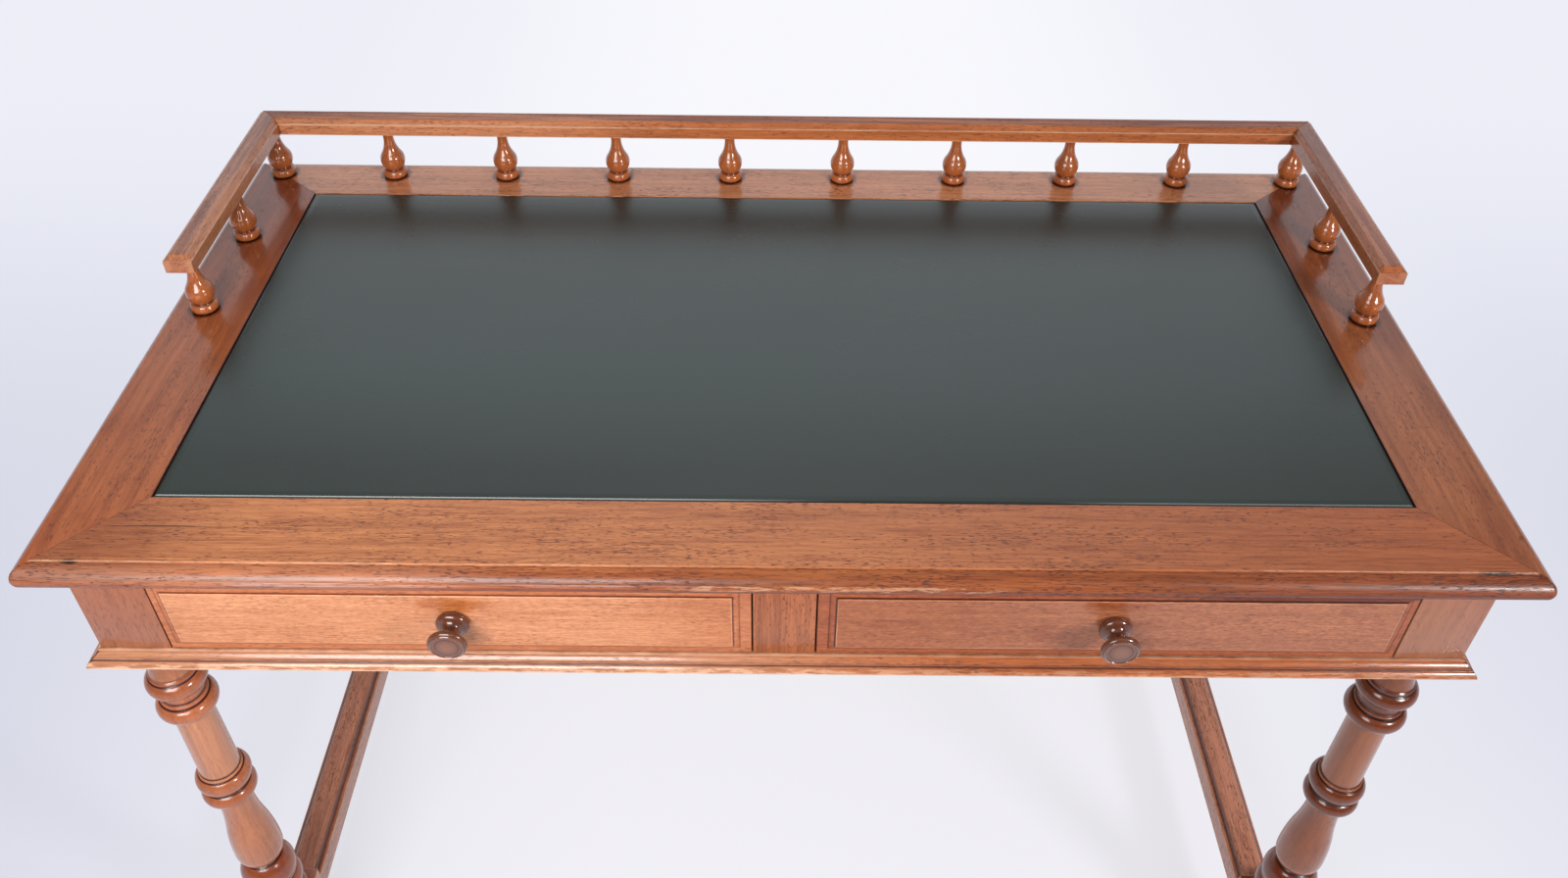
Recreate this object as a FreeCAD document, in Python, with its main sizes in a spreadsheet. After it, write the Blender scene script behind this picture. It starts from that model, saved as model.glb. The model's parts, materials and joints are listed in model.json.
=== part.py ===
import FreeCAD, Part
import math
import os

from Sketcher import Constraint

# Writing desk with a leather-lined top, a low gallery, two drawers and turned legs.
# Millimetres. X runs to the sitter's right, Y away from the sitter and Z up. The origin is
# on the floor, under the middle of the desk with its knobs.

# Driving dimensions: a name, a size in millimetres and what it measures.
SIZES = [
    ("top_width", 1220, "top, side to side"),
    ("top_depth", 630, "top, front to back"),
    ("top_height", 750, "floor to the writing surface"),
    ("top_thickness", 20, "moulded frame of the top"),
    ("frame_width", 85, "front and side members, up to the leather"),
    ("back_frame_width", 73, "back member, up to the leather"),
    ("rebate_depth", 12, "depth of the panel's seat in the frame"),
    ("ledge_width", 10, "width of the ledge under the panel"),
    ("panel_gap", 0.6, "gap round the panel and its leather"),
    ("leather_thickness", 1.5, "leather skin"),
    ("leather_edge", 1.2, "round on the leather's upper edge"),
    ("edge_inset", 14, "outer edge of the top to the step on its face"),
    ("edge_step", 1.8, "drop of that step"),
    ("edge_nose", 8, "underside of the top to its widest line"),
    ("edge_under", 4, "widest line back to the flat underside"),
    ("tongue_length", 40, "loose tongue, along the mitre"),
    ("tongue_width", 24, "loose tongue, across the mitre"),
    ("tongue_thickness", 4, "loose tongue"),
    ("tongue_height", 4, "underside of the top to the tongue"),
    ("overhang", 26, "edge of the top to the frieze on all sides"),
    ("gallery_side_inset", 25, "side edge of the top to the gallery rail"),
    ("gallery_back_inset", 18, "back edge of the top to the gallery rail"),
    ("gallery_rail_width", 27, "gallery rail"),
    ("gallery_rail_height", 18, "gallery rail"),
    ("gallery_chamfer", 5.5, "width of the rail's chamfers"),
    ("gallery_chamfer_drop", 5, "drop of the rail's chamfers"),
    ("gallery_quirk", 0.8, "fine step at the foot of a chamfer"),
    ("gallery_side_bay", 127.3, "spacing of the balusters at the sides"),
    ("gallery_rail_end", 21.5, "last baluster to the rail's front end"),
    ("baluster_height", 57, "top of the desk to the rail"),
    ("baluster_diameter", 27, "ring at the foot of a baluster"),
    ("baluster_tenon_diameter", 8, "round tenon at both ends"),
    ("baluster_tenon_length", 10, "round tenon at both ends"),
    ("leg_blank", 60, "square blocks of a leg"),
    ("block_below", 4, "frieze down to the end of the upper block"),
    ("base_block_top", 150, "floor to the top of the lower block"),
    ("foot_height", 60, "turned foot under the lower block"),
    ("rail_thickness", 14, "rails over and under the drawers"),
    ("rail_shoulder", 3, "shoulder above and below a rail's tenon"),
    ("drawer_opening_height", 90, "clear height between the rails"),
    ("apron_thickness", 20, "side and back aprons"),
    ("tenon_thickness", 10, "tenons of the aprons"),
    ("tenon_length", 25, "tenons of the aprons and rails"),
    ("tenon_shoulder", 10, "shoulder at the edge of a tenon"),
    ("stub_length", 8, "stub tenons of the stile, runner and kicker"),
    ("stub_shoulder", 4, "shoulder at the edge of a stub tenon"),
    ("stile_width", 52.5, "upright between the drawers"),
    ("stile_thickness", 22, "upright between the drawers"),
    ("moulding_projection", 12, "base moulding, out from the frieze"),
    ("moulding_height", 14, "base moulding"),
    ("runner_lip", 2, "runner, past the inside of the drawer's side"),
    ("guide_height", 20, "guide beside the drawer, above the runner"),
    ("stretcher_width", 40, "stretcher"),
    ("stretcher_height", 36, "stretcher"),
    ("stretcher_centre", 100, "floor to the middle of a stretcher"),
    ("stretcher_tenon_width", 14, "tenon of a stretcher"),
    ("stretcher_tenon_height", 20, "tenon of a stretcher"),
    ("stretcher_tenon_length", 20, "tenon of a stretcher"),
    ("drawer_back_space", 58, "back of a drawer to the back apron"),
    ("drawer_gap", 1.2, "gap beside and above a drawer's front"),
    ("front_lift", 0.6, "gap below a drawer's front"),
    ("running_clearance", 0.3, "drawer to its runner and to its stops"),
    ("front_thickness", 20, "border of a drawer's front"),
    ("field_rise", 4, "raised field, out from the border"),
    ("field_border", 13.5, "border above, below and outside the field"),
    ("field_inner_border", 17.5, "border on the side towards the stile"),
    ("cove_radius", 3.8, "hollow round the raised field"),
    ("side_thickness", 10, "drawer side"),
    ("side_drop", 2, "opening's top edge to the drawer side"),
    ("drawer_back_thickness", 10, "drawer back"),
    ("drawer_back_drop", 5, "drawer side's top edge to the drawer back"),
    ("bottom_thickness", 6, "drawer bottom"),
    ("bottom_height", 8, "lower edge of a drawer side to the bottom"),
    ("groove_depth", 4, "groove for the drawer bottom"),
    ("dovetail_lap", 7, "wood left in front of the dovetails"),
    ("knob_diameter", 33, "face of a knob"),
    ("knob_projection", 29, "face of a knob to the field"),
    ("knob_tenon_diameter", 12, "round tenon of a knob"),
    ("stop_length", 40, "drawer stop, side to side"),
    ("stop_width", 15, "drawer stop, front to back"),
    ("stop_height", 4, "drawer stop"),
    ("screw_diameter", 4, "shank of the screws that hold the top"),
    ("screw_head_diameter", 8, "countersunk head"),
    ("screw_head_height", 3, "countersunk head"),
    ("screw_length", 28, "head and shank"),
]

BACK_BAYS = 9
SIDE_BAYS = 2
DOVETAILS = 3

# Half widths of a dovetail at its tip and its root, as shares of the tails' spacing.
TAIL_TIP_SHARE = 0.36
TAIL_ROOT_SHARE = 0.26

# Places of the screws along the top rail, as shares of its half length, and along a
# side kicker, as shares of its length. Places of the stops, as shares of an opening.
RAIL_SCREW_SHARES = (-0.75, -0.3, 0.3, 0.75)
KICKER_SCREW_SHARES = (0.1, 0.5, 0.9)
STOP_SHARES = (0.2, 0.8)

# The outlines below go up the piece. Each point has its height and its radius or width,
# as shares of the sizes named above the table, and the bulge of the line to the next
# point: the height of an arc over half its chord, positive where it swells outwards.

# Leg between its blocks: shares of the turned length and of half the blank.
LEG_TURNING_SHARES = [
    (0.000, 0.967, 0.35),
    (0.035, 0.800, 0.0),
    (0.055, 0.850, 0.33),
    (0.109, 0.850, 0.0),
    (0.111, 0.820, 0.0),
    (0.118, 0.883, 0.28),
    (0.183, 0.683, 0.0),
    (0.187, 0.583, 0.15),
    (0.210, 0.700, 0.08),
    (0.367, 0.683, -0.06),
    (0.448, 0.583, 0.0),
    (0.452, 0.660, 0.0),
    (0.460, 0.750, 0.47),
    (0.498, 0.750, 0.0),
    (0.503, 0.750, 0.40),
    (0.546, 0.750, 0.0),
    (0.547, 0.700, 0.0),
    (0.553, 0.700, 0.0),
    (0.555, 0.640, 0.0),
    (0.762, 0.607, -0.2),
    (0.773, 0.717, 0.0),
    (0.774, 0.783, 0.50),
    (0.812, 0.783, 0.0),
    (0.813, 0.717, 0.0),
    (0.819, 0.717, 0.0),
    (0.821, 0.650, -0.1),
    (0.849, 0.633, 0.0),
    (0.850, 0.767, 0.50),
    (0.889, 0.767, 0.0),
    (0.890, 0.717, 0.0),
    (0.896, 0.717, 0.0),
    (0.898, 0.660, -0.08),
    (0.978, 0.583, 0.0),
    (0.984, 0.733, 0.3),
    (1.000, 0.900, 0.0),
]

# Foot: shares of its height and of half the blank.
FOOT_TURNING_SHARES = [
    (0.00, 0.43, 0.0),
    (0.06, 0.48, 0.54),
    (0.70, 0.57, 0.0),
    (0.74, 0.68, 0.0),
    (0.80, 0.68, 0.0),
    (0.82, 0.60, -0.2),
    (0.92, 0.62, 0.0),
    (1.00, 0.83, 0.0),
]

# Baluster between its tenons: shares of its height and of half its diameter.
BALUSTER_TURNING_SHARES = [
    (0.00, 0.89, 0.35),
    (0.15, 0.89, 0.0),
    (0.16, 0.76, 0.0),
    (0.20, 0.73, 0.0),
    (0.22, 0.76, 0.30),
    (0.53, 0.79, -0.12),
    (0.85, 0.42, 0.0),
    (1.00, 0.47, 0.0),
]

# Knob in front of the field: shares of its projection and of half its diameter.
KNOB_TURNING_SHARES = [
    (0.00, 0.67, 0.75),
    (0.28, 0.67, 0.0),
    (0.30, 0.58, -0.65),
    (0.73, 0.68, 0.0),
    (0.765, 0.86, 0.80),
    (0.967, 0.86, 0.0),
    (1.00, 0.80, 0.0),
    (0.975, 0.76, 0.0),
]

# Base moulding: shares of its height and of its projection.
MOULDING_SHARES = [
    (0.00, 0.00, 0.0),
    (0.00, 0.90, 0.45),
    (0.43, 0.84, -0.35),
    (0.50, 0.62, 0.0),
    (0.57, 0.58, -0.35),
    (0.90, 0.21, 0.0),
    (1.00, 0.21, 0.0),
    (1.00, 0.00, 0.0),
]

# Upper half of a stretcher's section, from its side to its top: shares of its height
# below the top and of half its width.
STRETCHER_SHARES = [
    (0.28, 1.00, 0.0),
    (0.26, 0.94, -0.35),
    (0.12, 0.68, 0.0),
    (0.10, 0.66, 0.35),
    (0.02, 0.49, 0.0),
    (0.00, 0.48, 0.0),
]

LEFT = -1
RIGHT = 1
SIDES = (("left", LEFT), ("right", RIGHT))
QUARTER_TURN = 90

# How near an edge lies to a face to be taken for one of its own, as a share of a thickness
NEAR_SHARE = 1e-4

doc = FreeCAD.newDocument("WritingDesk")
sheet = doc.addObject("Spreadsheet::Sheet", "Sizes")
nodes = []


class Size:
    """A length and the formula that gives it, so that one name sizes and binds a feature."""

    def __init__(self, value, formula):
        self.value = value
        self.formula = formula

    def __add__(self, other):
        return combine(self, "+", other, self.value + number(other))

    def __radd__(self, other):
        return combine(other, "+", self, number(other) + self.value)

    def __sub__(self, other):
        return combine(self, "-", other, self.value - number(other))

    def __rsub__(self, other):
        return combine(other, "-", self, number(other) - self.value)

    def __mul__(self, other):
        return combine(self, "*", other, self.value * number(other))

    def __rmul__(self, other):
        return combine(other, "*", self, number(other) * self.value)

    def __truediv__(self, other):
        return combine(self, "/", other, self.value / number(other))

    def __neg__(self):
        return Size(-self.value, "(0 - %s)" % self.formula)


def number(term):
    """The plain value of a size or of a number."""
    return term.value if isinstance(term, Size) else term


def formula(term):
    """The formula of a size or of a number."""
    return term.formula if isinstance(term, Size) else "(%r)" % float(term)


def combine(first, sign, second, value):
    """The size that joins two terms with one sign."""
    return Size(value, "(%s %s %s)" % (formula(first), sign, formula(second)))


def larger(first, second):
    """The larger of two sizes."""
    value = max(number(first), number(second))
    return Size(value, "max(%s; %s)" % (formula(first), formula(second)))


def slope_angle(rise, run):
    """The angle, in degrees, of a slope."""
    value = math.degrees(math.atan2(rise.value, run.value))
    return Size(value, "atan(%s / %s)" % (rise.formula, run.formula))


class Sheet:
    """The driving dimensions as sizes, by name."""

    def __init__(self):
        for row, (name, value, meaning) in enumerate(SIZES, start=1):
            sheet.set("A%d" % row, name)
            sheet.set("B%d" % row, str(value))
            sheet.set("C%d" % row, meaning)
            sheet.setAlias("B%d" % row, name)
            setattr(self, name, Size(float(value), "Sizes.%s" % name))
        doc.recompute()


def bind(thing, name, size):
    """Binds one property to a size."""
    thing.setExpression(name, formula(size))


def place(thing, x, y, z, turn=0, axis=FreeCAD.Vector(0, 0, 1)):
    """Puts a piece at a point, turned about an axis by degrees."""
    thing.Placement = FreeCAD.Placement(FreeCAD.Vector(), FreeCAD.Rotation(axis, number(turn)))
    for name, size in (("x", x), ("y", y), ("z", z)):
        bind(thing, "Placement.Base." + name, size)
    if isinstance(turn, Size):
        bind(thing, "Placement.Rotation.Angle", turn)
    return thing


def box(label, x, y, z):
    """A block between the low and high value given for each axis."""
    piece = doc.addObject("Part::Box", label)
    for name, axis, (low, high) in (("Length", "x", x), ("Width", "y", y), ("Height", "z", z)):
        bind(piece, name, high - low)
        bind(piece, "Placement.Base." + axis, low)
    return piece


def wedge(label, y, x, far_x, z, far_z=None):
    """A block whose ends, at the low and high y, may differ in width and height."""
    piece = doc.addObject("Part::Wedge", label)
    ends = (("Y", y), ("X", x), ("X2", far_x), ("Z", z), ("Z2", far_z or z))
    for name, (low, high) in ends:
        bind(piece, name + "min", low)
        bind(piece, name + "max", high)
    return piece


def gather(kind, label, pieces):
    """A fusion or a group of pieces, as kind says."""
    whole = doc.addObject("Part::" + kind, label)
    if kind == "Compound":
        whole.Links = pieces
    else:
        whole.Shapes = pieces
        whole.Refine = True
    return whole


def pair(kind, label, base, tool):
    """What is left of a base cut by, or in common with, a tool."""
    result = doc.addObject("Part::" + kind, label)
    result.Base = base
    result.Tool = tool
    result.Refine = True
    return result


def carve(label, base, tools):
    """The base less the space that each tool fills."""
    if len(tools) == 1:
        return pair("Cut", label, base, tools[0])
    return pair("Cut", label, base, gather("Compound", label + "_seats", tools))


def node(piece):
    """Marks a finished sub-part, to be written under its label."""
    nodes.append(piece)
    return piece


def sketch(body, plane, points):
    """A closed outline of lines and arcs with every corner bound to its sizes.

    A point is its two coordinates and the bulge of the edge to the next one. An arc with a
    bulge b over the chord d has its centre at the chord's middle plus d turned a quarter
    and scaled by (1 - b * b) / (4 * b).
    """
    drawing = body.newObject("Sketcher::SketchObject", body.Label + "_outline")
    support = [f for f in body.Origin.OriginFeatures if f.Role == plane][0]
    drawing.AttachmentSupport = (support, [""])
    drawing.MapMode = "FlatFace"
    edges = []
    starts = []
    rules = []
    sizes = []
    for index, (x, y, bulge) in enumerate(points):
        next_x, next_y, _ = points[(index + 1) % len(points)]
        start = FreeCAD.Vector(number(x), number(y), 0)
        end = FreeCAD.Vector(number(next_x), number(next_y), 0)
        chord = end - start
        crown = (start + end) / 2 + FreeCAD.Vector(chord.y, -chord.x, 0) * (bulge / 2)
        if bulge == 0:
            edges.append(Part.LineSegment(start, end))
        elif bulge > 0:
            edges.append(Part.Arc(start, crown, end))
        else:
            edges.append(Part.Arc(end, crown, start))
        starts.append(2 if bulge < 0 else 1)
    drawing.addGeometry(edges, False)
    for index, (x, y, bulge) in enumerate(points):
        following = (index + 1) % len(points)
        next_x, next_y, _ = points[following]
        end_of_edge = 3 - starts[index]
        rules.append(Constraint("Coincident", index, end_of_edge, following, starts[following]))
        sizes.append(None)
        for kind, size in (("DistanceX", x), ("DistanceY", y)):
            rules.append(Constraint(kind, -1, 1, index, starts[index], number(size)))
            sizes.append(size)
        if bulge:
            reach = (1 - bulge * bulge) / (4 * bulge)
            tall = abs(number(next_y) - number(y)) >= abs(number(next_x) - number(x))
            if tall:
                kind, centre = "DistanceX", (x + next_x) / 2 - (next_y - y) * reach
            else:
                kind, centre = "DistanceY", (y + next_y) / 2 + (next_x - x) * reach
            rules.append(Constraint(kind, -1, 1, index, 3, number(centre)))
            sizes.append(centre)
    drawing.addConstraint(rules)
    for index, size in enumerate(sizes):
        if isinstance(size, Size):
            drawing.setExpression("Constraints[%d]" % index, size.formula)
    return drawing


def pad(body, drawing, length, symmetric=True):
    """Carries an outline along its normal, both ways where symmetric."""
    solid = body.newObject("PartDesign::Pad", drawing.Label + "_pad")
    solid.Profile = (drawing, [""])
    solid.SideType = "Symmetric" if symmetric else "One side"
    bind(solid, "Length", length)
    return solid


def new_body(label):
    return doc.addObject("PartDesign::Body", label)


def bar(label, points, length):
    """A straight bar along X whose section is given in Y and Z."""
    body = new_body(label)
    pad(body, sketch(body, "YZ_Plane", points), length)
    return body


def turned(label, points):
    """A piece turned about Z, from points given as a radius, a height and a bulge."""
    body = new_body(label)
    drawing = sketch(body, "XZ_Plane", points)
    spin = body.newObject("PartDesign::Revolution", label + "_turning")
    spin.Profile = (drawing, [""])
    spin.ReferenceAxis = (drawing, ["V_Axis"])
    spin.Angle = 360
    return body


def scaled(shares, low, height, radius):
    """Outline points from a table of shares: radius, height and bulge."""
    return [(radius * r, low + height * h, bulge) for h, r, bulge in shares]


def edge_names(shape, wanted):
    """Names of the edges of a shape that pass a test."""
    return ["Edge%d" % (i + 1) for i, edge in enumerate(shape.Edges) if wanted(edge)]


def side_span(side, inner, outer):
    """A span in X on one side of the middle, low value first."""
    return (inner, outer) if side == RIGHT else (-outer, -inner)


s = Sheet()

# Planes and lines that the pieces share
knob_overhang = larger(s.knob_projection + s.field_rise - s.overhang, 0)
front_edge = (knob_overhang - s.top_depth) / 2
back_edge = front_edge + s.top_depth
side_edge = s.top_width / 2
middle_y = (front_edge + back_edge) / 2
under_top = s.top_height - s.top_thickness
panel_seat = s.top_height - s.rebate_depth
frieze_front = front_edge + s.overhang
frieze_back = back_edge - s.overhang
frieze_side = side_edge - s.overhang
opening_high = under_top - s.rail_thickness
opening_low = opening_high - s.drawer_opening_height
frieze_bottom = opening_low - s.rail_thickness
block_bottom = frieze_bottom - s.block_below
half_blank = s.leg_blank / 2
leg_x = frieze_side - half_blank
leg_front = frieze_front + half_blank
leg_back = frieze_back - half_blank
behind_front_legs = frieze_front + s.leg_blank
before_back_legs = frieze_back - s.leg_blank
before_back_apron = frieze_back - s.apron_thickness
inside_side_apron = frieze_side - s.apron_thickness
opening_outer = frieze_side - s.leg_blank
opening_inner = s.stile_width / 2
runner_reach = s.drawer_gap + s.side_thickness + s.runner_lip
gallery_low = s.top_height + s.baluster_height
gallery_top = gallery_low + s.gallery_rail_height
gallery_side = side_edge - s.gallery_side_inset
gallery_back = back_edge - s.gallery_back_inset
baluster_side = gallery_side - s.gallery_rail_width / 2
baluster_back = gallery_back - s.gallery_rail_width / 2
gallery_front = baluster_back - s.gallery_side_bay * SIDE_BAYS - s.gallery_rail_end


def mitred_bar(label, points, depth, half, draw_low, draw_high, height, spot, turn):
    """A moulded bar whose ends are drawn in, from its outer to its inner face."""
    near, far = depth
    whole = bar(label + "_bar", points, half * 2)
    ends = wedge(label + "_ends", (near, far), (-half, half),
                 (draw_low - half, half - draw_high), (0, height))
    for piece in (whole, ends):
        place(piece, *spot, turn)
    return pair("Common", label + "_mitred", whole, ends)


# Loose tongues in the mitres of the top
def tongue(side, along_y, turn):
    half_length = s.tongue_length / 2
    half_width = s.tongue_width / 2
    low = under_top + s.tongue_height
    piece = wedge("tongue", (-half_width, half_width), (-half_length, half_length),
                  (-half_length, half_length), (0, s.tongue_thickness))
    return place(piece, side * (side_edge - s.frame_width / 2), along_y, low, turn)


back_mitre = slope_angle(s.back_frame_width, s.frame_width)
front_mitre = slope_angle(s.frame_width, s.frame_width)
tongues = [tongue(side, front_edge + s.frame_width / 2, -side * front_mitre) for _, side in SIDES]
tongues += [tongue(side, back_edge - s.back_frame_width / 2, side * back_mitre)
            for _, side in SIDES]
mitre_tongues = node(gather("Compound", "mitre_tongues", tongues))


# Screws that hold the top, driven up from inside
def screw(x, y):
    head = doc.addObject("Part::Cone", "screw_head")
    bind(head, "Radius1", s.screw_head_diameter / 2)
    bind(head, "Radius2", s.screw_diameter / 2)
    bind(head, "Height", s.screw_head_height)
    place(head, x, y, opening_high)
    shank = doc.addObject("Part::Cylinder", "screw_shank")
    bind(shank, "Radius", s.screw_diameter / 2)
    bind(shank, "Height", s.screw_length - s.screw_head_height)
    place(shank, x, y, opening_high + s.screw_head_height)
    return gather("MultiFuse", "screw", [head, shank])


kicker_length = before_back_legs - behind_front_legs
screws = [screw(opening_outer * share, leg_front) for share in RAIL_SCREW_SHARES]
screws += [screw(side * (opening_outer + inside_side_apron) / 2,
                 behind_front_legs + kicker_length * share)
           for _, side in SIDES for share in KICKER_SCREW_SHARES]
top_screws = node(gather("Compound", "top_screws", screws))


# Gallery balusters
def baluster(label, x, y):
    """A turned baluster with a round tenon at each end."""
    tenon = s.baluster_tenon_diameter / 2
    length = s.baluster_tenon_length
    height = s.baluster_height
    points = [(0, -length, 0), (tenon, -length, 0), (tenon, 0, 0)]
    points += scaled(BALUSTER_TURNING_SHARES, 0, height, s.baluster_diameter / 2)
    points += [(tenon, height, 0), (tenon, height + length, 0), (0, height + length, 0)]
    return node(place(turned(label, points), x, y, s.top_height))


balusters = [baluster("baluster_back_%d" % (i + 1),
                      baluster_side * (2 * i / BACK_BAYS - 1), baluster_back)
             for i in range(BACK_BAYS + 1)]
for name, side in SIDES:
    for i in range(1, SIDE_BAYS + 1):
        balusters.append(baluster("baluster_%s_%d" % (name, i), side * baluster_side,
                                  baluster_back - s.gallery_side_bay * i))
top_seats = gather("Compound", "top_seats", [mitre_tongues, top_screws] + balusters)
rail_seats = gather("Compound", "rail_seats", balusters)


# Moulded frame of the top
def top_member(label, width, half, draw_low, draw_high, x, y, turn):
    """One side of the frame: moulded outside, rebated for the panel inside."""
    thickness = s.top_thickness
    ledge = width + s.ledge_width
    points = [
        (s.edge_under, 0, 0), (ledge, 0, 0), (ledge, thickness - s.rebate_depth, 0),
        (width, thickness - s.rebate_depth, 0), (width, thickness, 0),
        (s.edge_inset, thickness, 0), (s.edge_inset, thickness - s.edge_step, 0.42),
        (0, s.edge_nose, 0.236),
    ]
    spot = (x, y, under_top)
    whole = mitred_bar(label, points, (0, ledge), half, draw_low, draw_high, thickness,
                       spot, turn)
    return node(carve(label, whole, [top_seats]))


frame_draw = s.frame_width + s.ledge_width
back_draw = (s.back_frame_width + s.ledge_width) * s.frame_width / s.back_frame_width
side_back_draw = frame_draw * s.back_frame_width / s.frame_width
half_depth = s.top_depth / 2
top_member("top_frame_front", s.frame_width, side_edge, frame_draw, frame_draw,
           0, front_edge, 0)
top_member("top_frame_back", s.back_frame_width, side_edge, back_draw, back_draw,
           0, back_edge, 2 * QUARTER_TURN)
top_member("top_frame_left", s.frame_width, half_depth, side_back_draw, frame_draw,
           -side_edge, middle_y, -QUARTER_TURN)
top_member("top_frame_right", s.frame_width, half_depth, frame_draw, side_back_draw,
           side_edge, middle_y, QUARTER_TURN)

# Panel and leather inside the frame
panel_x = side_edge - s.frame_width - s.panel_gap
panel_front = front_edge + s.frame_width + s.panel_gap
panel_back = back_edge - s.back_frame_width - s.panel_gap
leather_low = s.top_height - s.leather_thickness
node(box("writing_panel", (-panel_x, panel_x), (panel_front, panel_back),
         (panel_seat, leather_low)))


def leather():
    """The leather skin, with its upper edge rounded over."""
    body = new_body("leather_skin")
    half = (panel_back - panel_front) / 2
    points = [(-panel_x, -half, 0), (panel_x, -half, 0), (panel_x, half, 0), (-panel_x, half, 0)]
    skin = pad(body, sketch(body, "XY_Plane", points), s.leather_thickness, symmetric=False)
    doc.recompute()
    top = s.leather_thickness.value
    slack = top * NEAR_SHARE
    upper = edge_names(skin.Shape, lambda edge: edge.CenterOfMass.z > top - slack)
    rounded = body.newObject("PartDesign::Fillet", "leather_round")
    rounded.Base = (skin, upper)
    bind(rounded, "Radius", s.leather_edge)
    return node(place(body, 0, (panel_front + panel_back) / 2, leather_low))


leather()


# Gallery rails
def gallery_rail(name, half, draw_low, draw_high, x, y, turn):
    """A rail with chamfered upper edges and a fine step at the foot of each chamfer."""
    width = s.gallery_rail_width
    height = s.gallery_rail_height
    shoulder = height - s.gallery_chamfer_drop
    points = [
        (0, 0, 0), (width, 0, 0), (width, shoulder, 0),
        (width - s.gallery_quirk, shoulder, 0), (width - s.gallery_chamfer, height, 0),
        (s.gallery_chamfer, height, 0), (s.gallery_quirk, shoulder, 0), (0, shoulder, 0),
    ]
    return mitred_bar("gallery_" + name, points, (0, width), half, draw_low, draw_high,
                      height, (x, y, gallery_low), turn)


node(carve("gallery_rail_back",
           gallery_rail("back", gallery_side, s.gallery_rail_width, s.gallery_rail_width,
                        0, gallery_back, 2 * QUARTER_TURN),
           [rail_seats]))
side_rail_half = (gallery_back - gallery_front) / 2
side_rail_middle = (gallery_back + gallery_front) / 2
for name, side in SIDES:
    draws = (s.gallery_rail_width, 0) if side == LEFT else (0, s.gallery_rail_width)
    rail = gallery_rail(name, side_rail_half, *draws, side * gallery_side, side_rail_middle,
                        side * QUARTER_TURN)
    across = side_span(side, gallery_side - s.gallery_rail_width, gallery_side)
    hip = wedge("gallery_hip", (gallery_front, gallery_front + s.gallery_chamfer), across,
                across, (gallery_top - s.gallery_chamfer_drop, gallery_top),
                (gallery_top, gallery_top + s.gallery_quirk))
    node(carve("gallery_rail_" + name, rail, [hip, rail_seats]))


# Boards with tenons
def tenoned(label, x, y, z, along, length, shoulders):
    """A board with a tenon at both ends, set in by a shoulder on the other axes."""
    spans = {"x": x, "y": y, "z": z}
    inner = {}
    for axis, (low, high) in spans.items():
        inset = -length if axis == along else shoulders[axis]
        inner[axis] = (low + inset, high - inset)
    board = box(label + "_board", x, y, z)
    tenons = box(label + "_tenons", inner["x"], inner["y"], inner["z"])
    return gather("MultiFuse", label, [board, tenons])


apron_shoulder = (s.apron_thickness - s.tenon_thickness) / 2
frieze_z = (frieze_bottom, under_top)
side_aprons = {}
for name, side in SIDES:
    side_aprons[side] = node(tenoned(
        "apron_" + name, side_span(side, inside_side_apron, frieze_side),
        (behind_front_legs, before_back_legs), frieze_z, "y", s.tenon_length,
        {"x": apron_shoulder, "z": s.tenon_shoulder}))
back_apron_whole = tenoned(
    "apron_back_whole", (-opening_outer, opening_outer), (before_back_apron, frieze_back),
    frieze_z, "x", s.tenon_length, {"y": apron_shoulder, "z": s.tenon_shoulder})

# Rails, stile, runners and kickers round the drawers
stile = node(tenoned(
    "centre_stile", (-opening_inner, opening_inner),
    (frieze_front, frieze_front + s.stile_thickness), (opening_low, opening_high),
    "z", s.stub_length, {"x": s.tenon_shoulder, "y": s.stub_shoulder}))

centre_x = (-opening_inner - runner_reach, opening_inner + runner_reach)
centre_y = (behind_front_legs, before_back_apron)
side_y = (behind_front_legs, before_back_legs)
stub = {"x": s.tenon_shoulder, "z": s.stub_shoulder}
runner_z = (frieze_bottom, opening_low)
guide_z = (opening_low, opening_low + s.guide_height)
kicker_z = (opening_high, under_top)
centre_board = tenoned("drawer_runner_centre_base", centre_x, centre_y, runner_z, "y",
                       s.stub_length, stub)
centre_guide = box("centre_guide", (-opening_inner, opening_inner), centre_y, guide_z)
centre_runner = node(gather("MultiFuse", "drawer_runner_centre", [centre_board, centre_guide]))
centre_kicker = node(tenoned("drawer_kicker_centre", centre_x, centre_y, kicker_z, "y",
                             s.stub_length, stub))
for name, side in SIDES:
    reach = side_span(side, opening_outer - runner_reach, inside_side_apron)
    ledge = box("runner_ledge", reach, side_y, runner_z)
    guide = box("runner_guide", side_span(side, opening_outer, inside_side_apron), side_y,
                guide_z)
    node(gather("MultiFuse", "drawer_runner_" + name, [ledge, guide]))
    kicker = box("kicker_board", reach, side_y, kicker_z)
    node(carve("drawer_kicker_" + name, kicker, [top_screws]))

rail_spans = ((-opening_outer, opening_outer), (frieze_front, behind_front_legs))
rail_shoulders = {"y": s.tenon_shoulder, "z": s.rail_shoulder}
top_rail_whole = tenoned("top_rail_whole", *rail_spans, kicker_z, "x", s.tenon_length,
                         rail_shoulders)
drawer_rail_whole = tenoned("drawer_rail_whole", *rail_spans, runner_z, "x", s.tenon_length,
                            rail_shoulders)
node(carve("top_rail", top_rail_whole, [stile, centre_kicker, top_screws]))
node(carve("drawer_rail", drawer_rail_whole, [stile, centre_runner]))
node(carve("apron_back", back_apron_whole, [centre_runner, centre_kicker]))


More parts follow.
